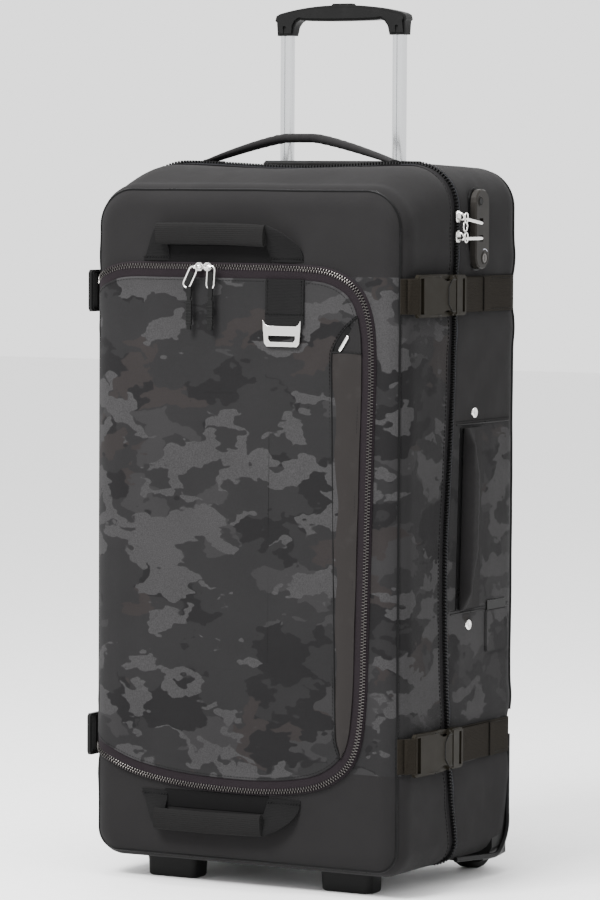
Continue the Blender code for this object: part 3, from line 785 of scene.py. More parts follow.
def soften(grid, outward, lift, closed=True):
    """Push a grid in and out along its normals as handled cloth sits."""
    normals = grid_normals(grid, outward, closed)
    broad = ripples(grid, 11.0, 3.3)
    fine = ripples(grid, 34.0, 8.1)
    push = lift * (0.45 + 0.75 * broad + 0.30 * fine) * free_of(grid, *SIDE_FITTINGS)
    push += pressed(grid)
    return grid + normals * push[..., None]


def shell_piece(name, outer, inner, finishes, body, drop=None):
    """A closed cloth shell: outer rows, then lining rows, ends capped."""
    verts, faces = capped(np.concatenate([outer, inner]))
    made = new_piece(name, verts, faces, finishes[0], body, sharp=60.0)
    mesh = made.data
    mesh.materials.append(MATERIALS[finishes[1]])
    edge = (len(outer) - 1) * COLUMNS
    for polygon in mesh.polygons:
        first = min(polygon.vertices)
        if first >= edge and len(polygon.vertices) == 4 or first > edge:
            polygon.material_index = 1
    if drop:
        bm = bmesh.new()
        bm.from_mesh(mesh)
        gone = [f for f in bm.faces if drop(f.calc_center_median())]
        bmesh.ops.delete(bm, geom=gone, context="FACES")
        bm.to_mesh(mesh)
        bm.free()
    return made


LID_CLOTH_EDGE = 0.0130
REAR_CLOTH_EDGE = 0.0065
FRONT_BEND = 0.025
LID_TOP = 0.7665
LID_BEND = {"top": LID_TOP, "top_radius": 0.047}
LID_MIDDLE = {"top": LID_TOP, "top_radius": 0.110, "low_radius": 0.110}
LINING = 0.0045


def sagged(points, share):
    """Let the top's middle hang slightly along the zip; share is 1 at the zip."""
    near_top = soft_step(points[:, 2], TOP - 0.030, TOP - 0.012)
    points[:, 2] -= 0.0055 * share * near_top * np.exp(-((points[:, 0] / 0.090) ** 2))
    return points


def lid_gusset(share, inset=0.0):
    """A ring of the lid between its front bend (0) and its cloth edge (1)."""
    start = ring(FRONT + FRONT_BEND, inset, **LID_BEND)
    edge = ZIP_DEPTH - LID_CLOTH_EDGE * (1 - LEFT_SIDE) - 0.003 * LEFT_SIDE
    end = ring(edge, inset, top=TOP - 0.0030)
    rise = math.sin(share * math.pi / 2)
    made = start * (1 - share) + end * share
    made[:, 2] += (end[:, 2] - start[:, 2]) * (rise - share) * 1.1
    return sagged(made, share * share)


def lid_rows():
    """Outer rows of the lid, from the middle of its front to the zip."""
    inner_x, inner_z = outline(0.085, **LID_MIDDLE)
    bend_x, bend_z = outline(FRONT_BEND, **LID_BEND)
    rows = []
    for share in np.linspace(0, 1, 12)[:-1]:
        x = inner_x * (1 - share) + bend_x * share
        z = inner_z * (1 - share) + bend_z * share
        rows.append(np.stack([x, np.full(COLUMNS, FRONT), z], axis=1))
    for angle in np.linspace(0, math.pi / 2, 9):
        inset = FRONT_BEND * (1 - math.sin(angle))
        y = FRONT + FRONT_BEND * (1 - math.cos(angle))
        rows.append(ring(y, inset, **LID_BEND))
    for share in np.linspace(0, 1, 20)[1:]:
        rows.append(lid_gusset(share))
    return np.array(rows)


def rolled_rim(last, before, depth):
    """The turned edge of the cloth: a small round and the rim down to the lining."""
    way = unit(last - before)
    down = -ring_normals()
    return np.array(
        [
            last + way * 0.0006 + down * 0.0003,
            last + way * 0.0009 + down * 0.0012,
            last + way * 0.0006 + down * 0.0024,
            last + down * depth,
        ]
    )


LID_OUTER = lid_rows()
LID_OUT_WAY = np.broadcast_to(ring_normals(), LID_OUTER.shape) + np.array((0, -0.6, 0))
LID_OUTER = soften(LID_OUTER, LID_OUT_WAY, 0.0009)
LID_RIM = rolled_rim(LID_OUTER[-1], LID_OUTER[-2], LINING)


def lid_lining():
    rows = []
    for share in np.linspace(1, 0, 6):
        rows.append(lid_gusset(share, LINING + 0.0005))
    for angle in np.linspace(math.pi / 2, 0, 5)[1:]:
        inset = LINING + 0.020 * (1 - math.sin(angle))
        y = FRONT + LINING + 0.020 * (1 - math.cos(angle))
        rows.append(ring(y, inset, **LID_BEND))
    x, z = outline(0.085, **LID_MIDDLE)
    rows.append(np.stack([x, np.full(COLUMNS, FRONT + LINING), z], axis=1))
    return np.array(rows)


lid_case = shell_piece(
    "lid_cloth",
    LID_OUTER,
    np.concatenate([LID_RIM, lid_lining()]),
    ("lid_cloth", "lining"),
    "lid",
)
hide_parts("lid_shell")


# ---- rear half ---------------------------------------------------------------------
def back_radius():
    """Bend between the sides and the back for every column, larger at the bottom."""
    z = outline()[1]
    return 0.030 + 0.016 * (1 - soft_step(z, 0.030, 0.110))


BACK_RADIUS = back_radius()


REAR_END = {"top": TOP - 0.005, "top_radius": 0.044}


def rear_ring(share, inset=0.0):
    start = ring(ZIP_DEPTH + REAR_CLOTH_EDGE * (1 - LEFT_SIDE) + 0.003 * LEFT_SIDE, inset)
    end = ring(BACK - BACK_RADIUS, inset, **REAR_END)
    return sagged(start * (1 - share) + end * share, (1 - share) ** 2)


def rear_bend(angle, inset=0.0):
    drawn = BACK_RADIUS * (1 - math.cos(angle))
    y = BACK - inset - BACK_RADIUS + BACK_RADIUS * math.sin(angle)
    x, z = outline(drawn + inset, **REAR_END)
    return np.stack([x, y, z], axis=1)


def rear_rows(inset=0.0, steps=30, bends=9, closing=8):
    rows = [rear_ring(share, inset) for share in np.linspace(0, 1, steps)]
    rows += [rear_bend(angle, inset) for angle in np.linspace(0, math.pi / 2, bends)[1:]]
    start = rows[-1]
    x, z = outline(0.110, top_radius=0.130, low_radius=0.130)
    end = np.stack([x, np.full(COLUMNS, BACK - inset), z], axis=1)
    for share in np.linspace(0, 1, closing)[1:]:
        rows.append(start * (1 - share) + end * share)
    return np.array(rows)


REAR_OUTER = rear_rows()
REAR_OUT_WAY = np.broadcast_to(ring_normals(), REAR_OUTER.shape) + np.array((0, 0.6, 0))
REAR_OUTER = soften(REAR_OUTER, REAR_OUT_WAY, 0.0008)
REAR_RIM = rolled_rim(REAR_OUTER[0], REAR_OUTER[1], LINING)
REAR_LINING = rear_rows(LINING + 0.0005, 10, 6, 3)


SIDE_CLOTH_END = 0.117


def in_housing(point):
    """Cloth left out inside a wheel housing; the outer side keeps its cloth."""
    inside = (
        HOUSING_LOW.x + 0.003 < abs(point.x)
        and point.y > HOUSING_LOW.y + 0.003
        and point.z < HOUSING_HIGH.z - 0.003
    )
    return inside and (abs(point.x) < 0.184 or point.y > SIDE_CLOTH_END + 0.002)


rear_case = shell_piece(
    "rear_cloth",
    REAR_OUTER[::-1],
    np.concatenate([REAR_RIM, REAR_LINING]),
    ("rear_cloth", "lining"),
    "rear_case",
    in_housing,
)
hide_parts("rear_shell")


# ---- main zip, hinge and piping ----------------------------------------------------
def even(path, normals, step, closed=False):
    """A path and its normals at an even spacing."""
    points = np.asarray(path, dtype=float)
    ups = np.asarray(normals, dtype=float)
    if closed:
        points = np.vstack([points, points[:1]])
        ups = np.vstack([ups, ups[:1]])
    runs = np.linalg.norm(np.diff(points, axis=0), axis=1)
    reach = np.concatenate([[0.0], np.cumsum(runs)])
    count = max(3, int(round(reach[-1] / step)) + 1)
    at = np.linspace(0.0, reach[-1], count)
    if closed:
        at = at[:-1]
    points = np.stack([np.interp(at, reach, points[:, k]) for k in range(3)], axis=1)
    ups = np.stack([np.interp(at, reach, ups[:, k]) for k in range(3)], axis=1)
    return points, unit(ups)


def teeth(name, path, normals, aside, size, pitch, phase, finish, body, lift=0.0):
    """A row of zip teeth beside a path."""
    points, ups = even(path, normals, pitch)
    along = tangents(points)
    parts = []
    length, width, height = size
    for p, n, t in zip(points, ups, along):
        side = unit(np.cross(t, n))
        centre = p + side * aside + t * phase * pitch + n * (lift + height / 2)
        parts.append(box_part(centre, (t, side, n), (length, width, height), 0.62))
    verts, faces = merged(parts)
    return new_piece(name, verts, faces, finish, body, smooth=True, sharp=75.0)


def flat_strip(name, path, normals, low, high, base, lift, finish, body, step=0.003):
    points, ups = even(path, normals, step)
    section = rounded_section((high - low) / 2, base, lift, min(0.0003, (lift - base) / 3))
    section = [(a + (high + low) / 2, b) for a, b in section]
    verts, faces = extrusion(points, ups, section)
    return new_piece(name, verts, faces, finish, body)


ZIP_COLUMNS = np.concatenate(
    [np.arange(LEFT_LOW_START - 4, COLUMNS), np.arange(0, LEFT_TOP_END + 5)]
)
ZIP_PATH = smoothed(sagged(ring(ZIP_DEPTH, 0.0016), 1.0)[ZIP_COLUMNS], 4)
ZIP_UP = ring_normals()[ZIP_COLUMNS]

flat_strip("zip_tape_lid", ZIP_PATH, ZIP_UP, -0.0165, -0.0006, -0.0005, 0.0005, "tape", "lid")
flat_strip("zip_tape_rear", ZIP_PATH, ZIP_UP, 0.0006, 0.0105, -0.0005, 0.0005, "tape", "rear_case")
COIL = (0.0021, 0.0040, 0.0030)
teeth("zip_teeth_lid", ZIP_PATH, ZIP_UP, -0.0017, COIL, 0.0036, 0.0, "piping", "lid", 0.0012)
teeth("zip_teeth_rear", ZIP_PATH, ZIP_UP, 0.0017, COIL, 0.0036, 0.5, "piping", "rear_case", 0.0012)

hinge_columns = np.arange(LEFT_TOP_END + 4, LEFT_LOW_START - 3)
hinge_path, hinge_up = even(
    ring(np.full(COLUMNS, HINGE_Y), 0.0)[hinge_columns], ring_normals()[hinge_columns], 0.006
)
hinge_section = [(a, 0.0010 - 0.0006 * abs(a / 0.013) ** 2) for a in np.linspace(-0.013, 0.013, 14)]
hinge_section += [(a, -0.0004) for a in np.linspace(0.013, -0.013, 14)]
hinge_verts, hinge_faces = extrusion(hinge_path, hinge_up, hinge_section)
hinge = new_piece("hinge_fabric", hinge_verts, hinge_faces, "dark_cloth", None)
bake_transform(hinge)

stitches(
    "lid_edge_stitches",
    (LID_OUTER[-1] * 0.4 + LID_OUTER[-2] * 0.6 + ring_normals() * 0.0002)[ZIP_COLUMNS],
    ZIP_UP,
    "lid",
    0.0030,
    0.0014,
    0.0004,
    "black_webbing",
)


def ring_cord(name, rows, columns, radius, finish, body, lift=0.0, closed=False, sides=8):
    path, ups = even(
        rows[columns] + ring_normals()[columns] * lift, ring_normals()[columns], 0.004, closed
    )
    return cord_piece(name, path, ups, radius, finish, body, closed, sides)


ALL = np.arange(COLUMNS)
SEAM_ROW = 15
ring_cord("lid_piping", LID_OUTER[SEAM_ROW], ALL, 0.0013, "piping", "lid", 0.0001, True)

PIPING_ROW = 32
upper = np.arange(40, COLUMNS - 120)
ring_cord("rear_piping", REAR_OUTER[PIPING_ROW], upper, 0.0024, "piping", "rear_case", 0.0004)


def guard_rim(sign):
    """Glossy lip down the back corner, round the heel and forward underneath."""
    side = HOUSING_HIGH.x - 0.0008
    radius = 0.046
    top = HOUSING_HIGH.z
    low = HOUSING_LOW.z + 0.006
    edge = SIDE_CLOTH_END
    path = [(side - 0.001, edge, top)]
    path += [(side - 0.001, edge, z) for z in np.linspace(top - 0.01, low + radius, 16)]
    for angle in np.radians(np.linspace(6, 66, 9)):
        back = edge - radius * (1 - math.cos(angle))
        path.append((side, back, low + radius - radius * math.sin(angle)))
    start = path[-1]
    end = (side - 0.006, float(ZIP_DEPTH[2]) + 0.012, BOTTOM + 0.004)
    for t in np.linspace(0.1, 1, 14):
        path.append(tuple(a + (b - a) * t for a, b in zip(start, end)))
    points = smoothed(resampled([(sign * x, y, z) for x, y, z in path], 0.004), 4)
    verts, faces = extrusion(points, (sign, 0.0, 0.0), oval_section(0.0030, 0.0026))
    side_name = "right" if sign > 0 else "left"
    new_piece("guard_rim_" + side_name, verts, faces, "piping", "rear_case", sharp=80.0)


guard_rim(1)
guard_rim(-1)


# ---- front pocket -----------------------------------------------------------------
BEND_U = -HALF + FRONT_BEND


def on_front(u, z, lift):
    """The point over the lid's front, wrapping round its left corner."""
    u = np.asarray(u, dtype=float)
    z = np.broadcast_to(z, u.shape)
    lift = np.broadcast_to(lift, u.shape) * (1 - 0.70 * soft_step(-u, 0.150, 0.186))
    angle = np.clip((BEND_U - u) / FRONT_BEND, 0.0, math.pi / 2)
    x = np.where(angle > 0, BEND_U - (FRONT_BEND + lift) * np.sin(angle), u)
    y = FRONT + FRONT_BEND - (FRONT_BEND + lift) * np.cos(angle)
    return np.stack([x, y, z], axis=-1)


def front_normal(u):
    u = np.asarray(u, dtype=float)
    angle = np.clip((BEND_U - u) / FRONT_BEND, 0.0, math.pi / 2)
    return np.stack([-np.sin(angle), -np.cos(angle), np.zeros(u.shape)], axis=-1)


def curve_through(points, step):
    """A smooth curve through points of the (u, z) plane, evenly spaced."""
    knots = np.asarray(points, dtype=float)
    padded = np.vstack([2 * knots[0] - knots[1], knots, 2 * knots[-1] - knots[-2]])
    made = []
    for i in range(1, len(padded) - 2):
        a, b, c, d = padded[i - 1 : i + 3]
        for t in np.linspace(0, 1, 24, endpoint=False):
            made.append(
                0.5
                * (
                    2 * b
                    + (c - a) * t
                    + (2 * a - 5 * b + 4 * c - d) * t * t
                    + (3 * b - a - 3 * c + d) * t**3
                )
            )
    made.append(knots[-1])
    flat = np.array(made)
    return resampled(np.column_stack([flat, np.zeros(len(flat))]), step)[:, :2]


POCKET_EDGE = BEND_U - FRONT_BEND * math.radians(68)
POCKET_TOP_Z = 0.6725
POCKET_ZIP = curve_through(
    (
        (POCKET_EDGE, 0.6530),
        (-0.172, 0.6655),
        (-0.145, POCKET_TOP_Z - 0.0005),
        (-0.090, POCKET_TOP_Z),
        (0.000, POCKET_TOP_Z),
        (0.075, POCKET_TOP_Z - 0.001),
        (0.112, 0.6660),
        (0.138, 0.6490),
        (0.1505, 0.6180),
        (0.1535, 0.570),
        (0.1515, 0.480),
        (0.1495, 0.400),
        (0.1470, 0.300),
        (0.1440, 0.205),
        (0.1340, 0.1550),
        (0.108, 0.1295),
        (0.070, 0.1175),
        (0.010, 0.1125),
        (-0.070, 0.1150),
        (-0.130, 0.1240),
        (-0.170, 0.1380),
        (POCKET_EDGE, 0.1500),
    ),
    0.0024,
)


def inward(curve):
    """Unit normals of the pocket curve that point to its middle."""
    way = np.gradient(curve, axis=0)
    way = way / np.linalg.norm(way, axis=1, keepdims=True)
    normals = np.stack([way[:, 1], -way[:, 0]], axis=1)
    middle = np.array((-0.02, 0.40))
    flip = np.sign(np.sum(normals * (middle - curve), axis=1, keepdims=True))
    return normals * flip


POCKET_IN = inward(POCKET_ZIP)
COIL_SHIFT = -0.0040
POCKET_KEEP = (
    "webbing_tab",
    "metal_plate",
    "pocket_pull_left",
    "pocket_pull_right",
    "side_pocket_puller",
    "clip_socket_upper_left",
    "clip_socket_lower_left",
)


def pocket_points(curve, normals, offset, lift):
    spot = curve + normals * offset
    return on_front(spot[:, 0], spot[:, 1], lift)


def pocket_cloth():
    """The camouflage panel inside the zip, a turned edge all round."""
    rows = []
    for offset, lift in (
        (0.0110, 0.0020),
        (0.0082, 0.0034),
        (0.0078, 0.0046),
        (0.0082, 0.0054),
        (0.0092, 0.0058),
        (0.0110, 0.0058),
        (0.0140, 0.0055),
    ):
        rows.append(pocket_points(POCKET_ZIP, POCKET_IN, offset, lift))
    start = POCKET_ZIP + POCKET_IN * 0.0140
    end = np.stack(
        [np.clip(start[:, 0], -0.075, 0.035), np.clip(start[:, 1], 0.24, 0.54)], axis=1
    )
    for share in np.linspace(0, 1, 26)[1:]:
        spot = start * (1 - share) + end * share
        base = on_front(spot[:, 0], spot[:, 1], 0.0)
        keep = free_of(base, *POCKET_KEEP, margin=0.010, fade=0.040)
        wave = ripples(base, 9.0, 5.7)
        fine = ripples(base, 30.0, 1.3)
        puff = 0.0030 * math.sin(min(1.0, share * 1.4) * math.pi / 2)
        low = 1 - soft_step(spot[:, 1], 0.30, 0.62) * 0.7
        lift = 0.0053 + keep * (puff * low + 0.0011 * wave + 0.0004 * fine)
        rows.append(on_front(spot[:, 0], spot[:, 1], lift))
    return np.array(rows)


pocket_grid = pocket_cloth()
pocket_back = pocket_points(POCKET_ZIP, POCKET_IN, 0.0120, 0.0006)
verts, faces = capped(np.concatenate([pocket_back[None], pocket_grid]))
pocket = new_piece(
    "pocket_panel", verts, faces, "camo_cloth", "lid", sharp=60.0
)
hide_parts("front_pocket")


def pocket_strip(name, sections, finish):
    """A closed strip that follows the pocket zip, from (offset, lift) corners."""
    rows = [pocket_points(POCKET_ZIP, POCKET_IN, a, b) for a, b in sections]
    verts, faces = capped(np.stack(rows, axis=1))
    return new_piece(name, verts, faces, finish, "lid", sharp=50.0)


pocket_strip(
    "pocket_zip_tape",
    (
        (-0.0088, -0.0010),
        (-0.0086, 0.0014),
        (-0.0078, 0.0024),
        (-0.0062, 0.0036),
        (COIL_SHIFT - 0.0004, 0.0044),
        (COIL_SHIFT + 0.0004, 0.0044),
        (0.0030, 0.0042),
        (0.0100, 0.0038),
        (0.0100, -0.0010),
    ),
    "pocket_tape",
)
coil_spot = POCKET_ZIP + POCKET_IN * COIL_SHIFT
zip_line = on_front(coil_spot[:, 0], coil_spot[:, 1], 0.0042)
zip_ups = front_normal(coil_spot[:, 0])
TOOTH = (0.0013, 0.0036, 0.0016)
teeth("pocket_teeth_outer", zip_line, zip_ups, 0.0014, TOOTH, 0.0033, 0.0, "dark_metal", "lid")
teeth("pocket_teeth_inner", zip_line, zip_ups, -0.0014, TOOTH, 0.0033, 0.5, "dark_metal", "lid")
edge_spot = POCKET_ZIP + POCKET_IN * 0.0105
stitches(
    "pocket_edge_stitches",
    on_front(edge_spot[:, 0], edge_spot[:, 1], 0.0057),
    front_normal(edge_spot[:, 0]),
    "lid",
    0.0026,
    0.0012,
    0.0003,
    "black_webbing",
)


# ---- wheel housings -----------------------------------------------------------------
def arc(centre, radius, start, end, steps=8):
    angles = np.radians(np.linspace(start, end, steps + 1))
    return [(centre[0] + radius * math.cos(a), centre[1] + radius * math.sin(a)) for a in angles]


def join_cut(made, cutter, operation="DIFFERENCE", sharp=35.0):
    """Apply one boolean with another mesh for good."""
    tool = bpy.data.objects.new("tool", cutter)
    bpy.context.collection.objects.link(tool)
    modifier = made.modifiers.new("cut", "BOOLEAN")
    modifier.object = tool
    modifier.operation = operation
    bpy.context.view_layer.update()
    depsgraph = bpy.context.evaluated_depsgraph_get()
    result = bpy.data.meshes.new_from_object(made.evaluated_get(depsgraph))
    made.modifiers.remove(modifier)
    made.data = result
    bpy.data.objects.remove(tool)
    result.shade_smooth()
    result.set_sharp_from_angle(angle=math.radians(sharp))
    return made


def soft_edges(made, width, segments=3, angle=35.0):
    """Roll the sharp edges of a piece."""
    modifier = made.modifiers.new("soft edges", "BEVEL")
    modifier.width = width
    modifier.segments = segments
    modifier.limit_method = "ANGLE"
    modifier.angle_limit = math.radians(angle)
    modifier.harden_normals = True
    return made


WHEEL_LOW, WHEEL_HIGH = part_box("tyre_right")
WHEEL_CENTRE = (WHEEL_LOW + WHEEL_HIGH) / 2
WHEEL_RADIUS = (WHEEL_HIGH.z - WHEEL_LOW.z) / 2


def disc_mesh(name, centre, radius, low, high, steps=64):
    outline = arc(centre, radius, 0, 360 - 360 / steps, steps - 1)
    return plate_mesh(name, outline, (low, high), "X", 0.0)


def housing_piece(side, sign):
    """Moulded corner with a wheel well, its heel and outer corner rounded."""
    outer = HOUSING_HIGH.x - 0.0022
    plan = arc((outer - 0.043, 0.105), 0.043, 0, 90, 12)
    plan += arc((0.108, 0.140), 0.008, 90, 180, 4)
    plan += [(0.100, 0.0805), (outer, 0.0805)]
    plan = [(sign * x, y) for x, y in plan]
    made = plate_piece(
        "housing_" + side,
        plan,
        (HOUSING_LOW.z + 0.0005, HOUSING_HIGH.z - 0.0005),
        "Z",
        0.004,
        "plastic",
        "rear_case",
        3,
    )
    heel = arc((0.100, 0.062), 0.0505, -90, 0, 14)
    heel += [(0.1505, 0.170), (0.070, 0.170), (0.070, 0.0115)]
    join_cut(made, plate_mesh("heel", heel, (-0.3, 0.3), "X", 0.0), "INTERSECT")
    flank = arc((outer - 0.026, HOUSING_LOW.z + 0.027), 0.027, -90, 0, 10)
    flank += [(outer + 0.001, 0.2), (0.05, 0.2), (0.05, HOUSING_LOW.z)]
    flank = [(sign * x, z) for x, z in flank]
    join_cut(made, plate_mesh("flank", flank, (0.0, 0.3), "Y", 0.0), "INTERSECT")
    centre = (WHEEL_CENTRE.y, WHEEL_CENTRE.z)
    span = sorted((sign * 0.127, sign * 0.159))
    join_cut(made, disc_mesh("well", centre, 0.042, *span))
    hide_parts("wheel_housing_" + side)
    return made


housing_piece("right", 1)
housing_piece("left", -1)


def wheel_parts(side, sign):
    """Tyre with a centre groove, and a five-spoke hub."""
    x = sign * WHEEL_CENTRE.x
    centre = (0.0, WHEEL_CENTRE.y, WHEEL_CENTRE.z)
    half = (WHEEL_HIGH.x - WHEEL_LOW.x) / 2
    rim = WHEEL_RADIUS - 0.009
    profile = [
        (x - half, rim),
        (x - half, WHEEL_RADIUS - 0.0040),
        (x - half + 0.0012, WHEEL_RADIUS - 0.0014),
        (x - half + 0.0040, WHEEL_RADIUS),
        (x - 0.0016, WHEEL_RADIUS),
        (x - 0.0010, WHEEL_RADIUS - 0.0010),
        (x + 0.0010, WHEEL_RADIUS - 0.0010),
        (x + 0.0016, WHEEL_RADIUS),
        (x + half - 0.0040, WHEEL_RADIUS),
        (x + half - 0.0012, WHEEL_RADIUS - 0.0014),
        (x + half, WHEEL_RADIUS - 0.0040),
        (x + half, rim),
    ]
    body = "wheel_" + side
    tyre = turned_piece("tyre_tread_" + side, profile, centre, 72, "rubber", body, 50.0)
    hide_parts("tyre_" + side)
    hub_rim = [
        (x - half + 0.0005, rim + 0.0001),
        (x - half + 0.0005, rim - 0.0035),
        (x - half + 0.0040, rim - 0.0050),
        (x + half - 0.0040, rim - 0.0050),
        (x + half - 0.0005, rim - 0.0035),
        (x + half - 0.0005, rim + 0.0001),
    ]
    hub = turned_piece(
        "hub_rim_" + side, hub_rim, centre, 60, "grey_plastic", body
    )
    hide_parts("hub_" + side)
    boss = [
        (x - half, 0.0043),
        (x - half, 0.0085),
        (x - half + 0.0012, 0.0098),
        (x + half - 0.0012, 0.0098),
        (x + half, 0.0085),
        (x + half, 0.0043),
    ]
    turned_piece("hub_boss_" + side, boss, centre, 40, "grey_plastic", body)
    parts = []
    for k in range(5):
        angle = 2 * math.pi * k / 5 + math.pi / 2
        way = np.array((0.0, math.cos(angle), math.sin(angle)))
        across = np.array((0.0, -math.sin(angle), math.cos(angle)))
        reach = (0.0090 + rim - 0.0045) / 2
        middle = np.array((x, centre[1], centre[2])) + way * reach
        parts.append(
            box_part(
                middle, ((1.0, 0.0, 0.0), across, way), (half * 1.5, 0.0055, rim - 0.0045 - 0.0085)
            )
        )
    verts, faces = merged(parts)
    spokes = new_piece("hub_spokes_" + side, verts, faces, "grey_plastic", body)
    soft_edges(spokes, 0.0010, 2)


wheel_parts("right", 1)
wheel_parts("left", -1)


# ---- compression straps and clips --------------------------------------------------
WEB_HALF = 0.0190


def path_piece(name, plan, z, half, thickness, finish, body, cut=0.0005):
    """Webbing that follows (x, y) points at one height, standing on its edge."""
    points = resampled([(x, y, z) for x, y in plan], 0.003)
    points = smoothed(points, 2)
    along = tangents(points)
    ups = np.cross(along, (0.0, 0.0, 1.0))
    sign = math.copysign(1.0, plan[0][0] + plan[-1][0])
    flip = np.sign(np.sum(ups[:, 0]) * sign)
    section = rounded_section(half, 0.0, thickness, cut)
    verts, faces = extrusion(points, ups * flip, section)
    return new_piece(name, verts, faces, finish, body)


def around(centre, radius, start, end, steps, sign):
    """Arc in plan; 0 degrees is outward, 90 is to the back."""
    made = []
    for a in np.radians(np.linspace(start, end, steps)):
        made.append((sign * (centre[0] + radius * math.cos(a)), centre[1] + radius * math.sin(a)))
    return made


def front_web(level, side, sign, z, bar_y):
    """From the front seam round the bend and back to the clip's bar."""
    lift = 0.0008
    centre = (HALF - FRONT_BEND, FRONT + FRONT_BEND)
    plan = around(centre, FRONT_BEND + lift, -45, 0, 9, sign)
    if side == "right":
        plan += [
            (sign * (HALF + 0.0009), bar_y - 0.014),
            (sign * (HALF + 0.0022), bar_y - 0.008),
            (sign * (HALF + 0.0070), bar_y - 0.002),
            (sign * (HALF + 0.0080), bar_y + 0.002),
        ]
    else:
        plan = around(centre, FRONT_BEND + lift, -30, 0, 5, sign)
        plan += [(sign * (HALF + 0.0010), -0.100), (sign * (HALF + 0.0010), HINGE_Y - 0.006)]
    name = f"web_front_{level}_{side}"
    finish = "olive_webbing" if side == "right" else "black_webbing"
    made = path_piece(name, plan, z, WEB_HALF, 0.0015, finish, "lid")
    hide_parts(f"strap_front_{level}_{side}")
    return made


def rear_web(level, side, sign, z):
    """Anchor strap from under the clip to the back corner."""
    centre = (HALF - 0.030, BACK - 0.030)
    start = HINGE_Y + 0.006
    if side == "right":
        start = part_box(f"clip_tongue_{level}_right")[1].y - 0.021
    plan = [(sign * (HALF + 0.0010), start), (sign * (HALF + 0.0008), 0.060)]
    turn = 62 if level == "upper" else 8
    plan += around(centre, 0.0308, 0, turn, 7, sign)
    finish = "olive_webbing" if side == "right" else "black_webbing"
    made = path_piece(
        f"web_rear_{level}_{side}", plan, z, WEB_HALF + 0.0006, 0.0014, finish, "rear_case"
    )
    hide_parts(f"strap_rear_{level}_{side}")
    ups = (sign, 0.0, 0.0)
    for edge in (-1, 1):
        line = [
            (sign * (HALF + 0.0024), y, z + edge * (WEB_HALF - 0.0022))
            for y in np.linspace(0.062, 0.104, 5)
        ]
        stitches(
            f"web_stitch_{level}_{side}_{edge + 1}",
            line,
            ups,
            "rear_case",
            finish="piping",
            radius=0.0003,
        )
    return made


FREE_END = {"upper": 0.045, "lower": 0.068}


def free_end(level, z):
    """The adjusting strap: through the clip's bar, laid back and turned over at its end."""
    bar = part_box(f"clip_tongue_{level}_right")[1].y - 0.0060
    end = FREE_END[level]
    body = f"clip_tongue_{level}_right"
    plan = [
        (HALF + 0.0068, bar - 0.0040),
        (HALF + 0.0102, bar - 0.0005),
        (HALF + 0.0100, bar + 0.0045),
        (HALF + 0.0070, bar + 0.0110),
        (HALF + 0.0046, bar + 0.0180),
        (HALF + 0.0040, end),
    ]
    under = [
        (HALF + 0.0064, bar - 0.0030),
        (HALF + 0.0038, bar + 0.0030),
        (HALF + 0.0026, bar + 0.0090),
        (HALF + 0.0024, end - 0.004),
    ]
    fold = [
        (HALF + 0.0054, end - 0.012),
        (HALF + 0.0056, end - 0.004),
        (HALF + 0.0054, end + 0.0006),
    ]
    for name, path, narrower, thickness, cut in (
        ("free", plan, 0.0006, 0.0015, 0.0005),
        ("return", under, 0.0008, 0.0013, 0.0005),
        ("fold", fold, 0.0003, 0.0018, 0.0008),
    ):
        path_piece(
            f"web_{name}_{level}",
            path,
            z,
            WEB_HALF - narrower,
            thickness,
            "olive_webbing",
            body,
            cut,
        )
    line = [
        (HALF + 0.0061, end - 0.0125, z + t)
        for t in np.linspace(-WEB_HALF + 0.001, WEB_HALF - 0.001, 9)
    ]
    stitches(
        f"web_fold_stitch_{level}", line, (1.0, 0.0, 0.0), body, 0.0022, 0.0012, 0.00045, "piping"
    )


def block_mesh(name, x, y, z):
    """A plain block between two levels on each axis."""
    low, high = zip(x, y, z)
    bm = bmesh.new()
    bmesh.ops.create_cube(bm, size=1.0)
    for vert in bm.verts:
        for k in range(3):
            vert.co[k] = (low[k] + high[k]) / 2 + vert.co[k] * (high[k] - low[k])
    mesh = bpy.data.meshes.new(name)
    bm.to_mesh(mesh)
    bm.free()
    return mesh


def x_span(sign, low, high):
    return tuple(sorted((sign * low, sign * high)))


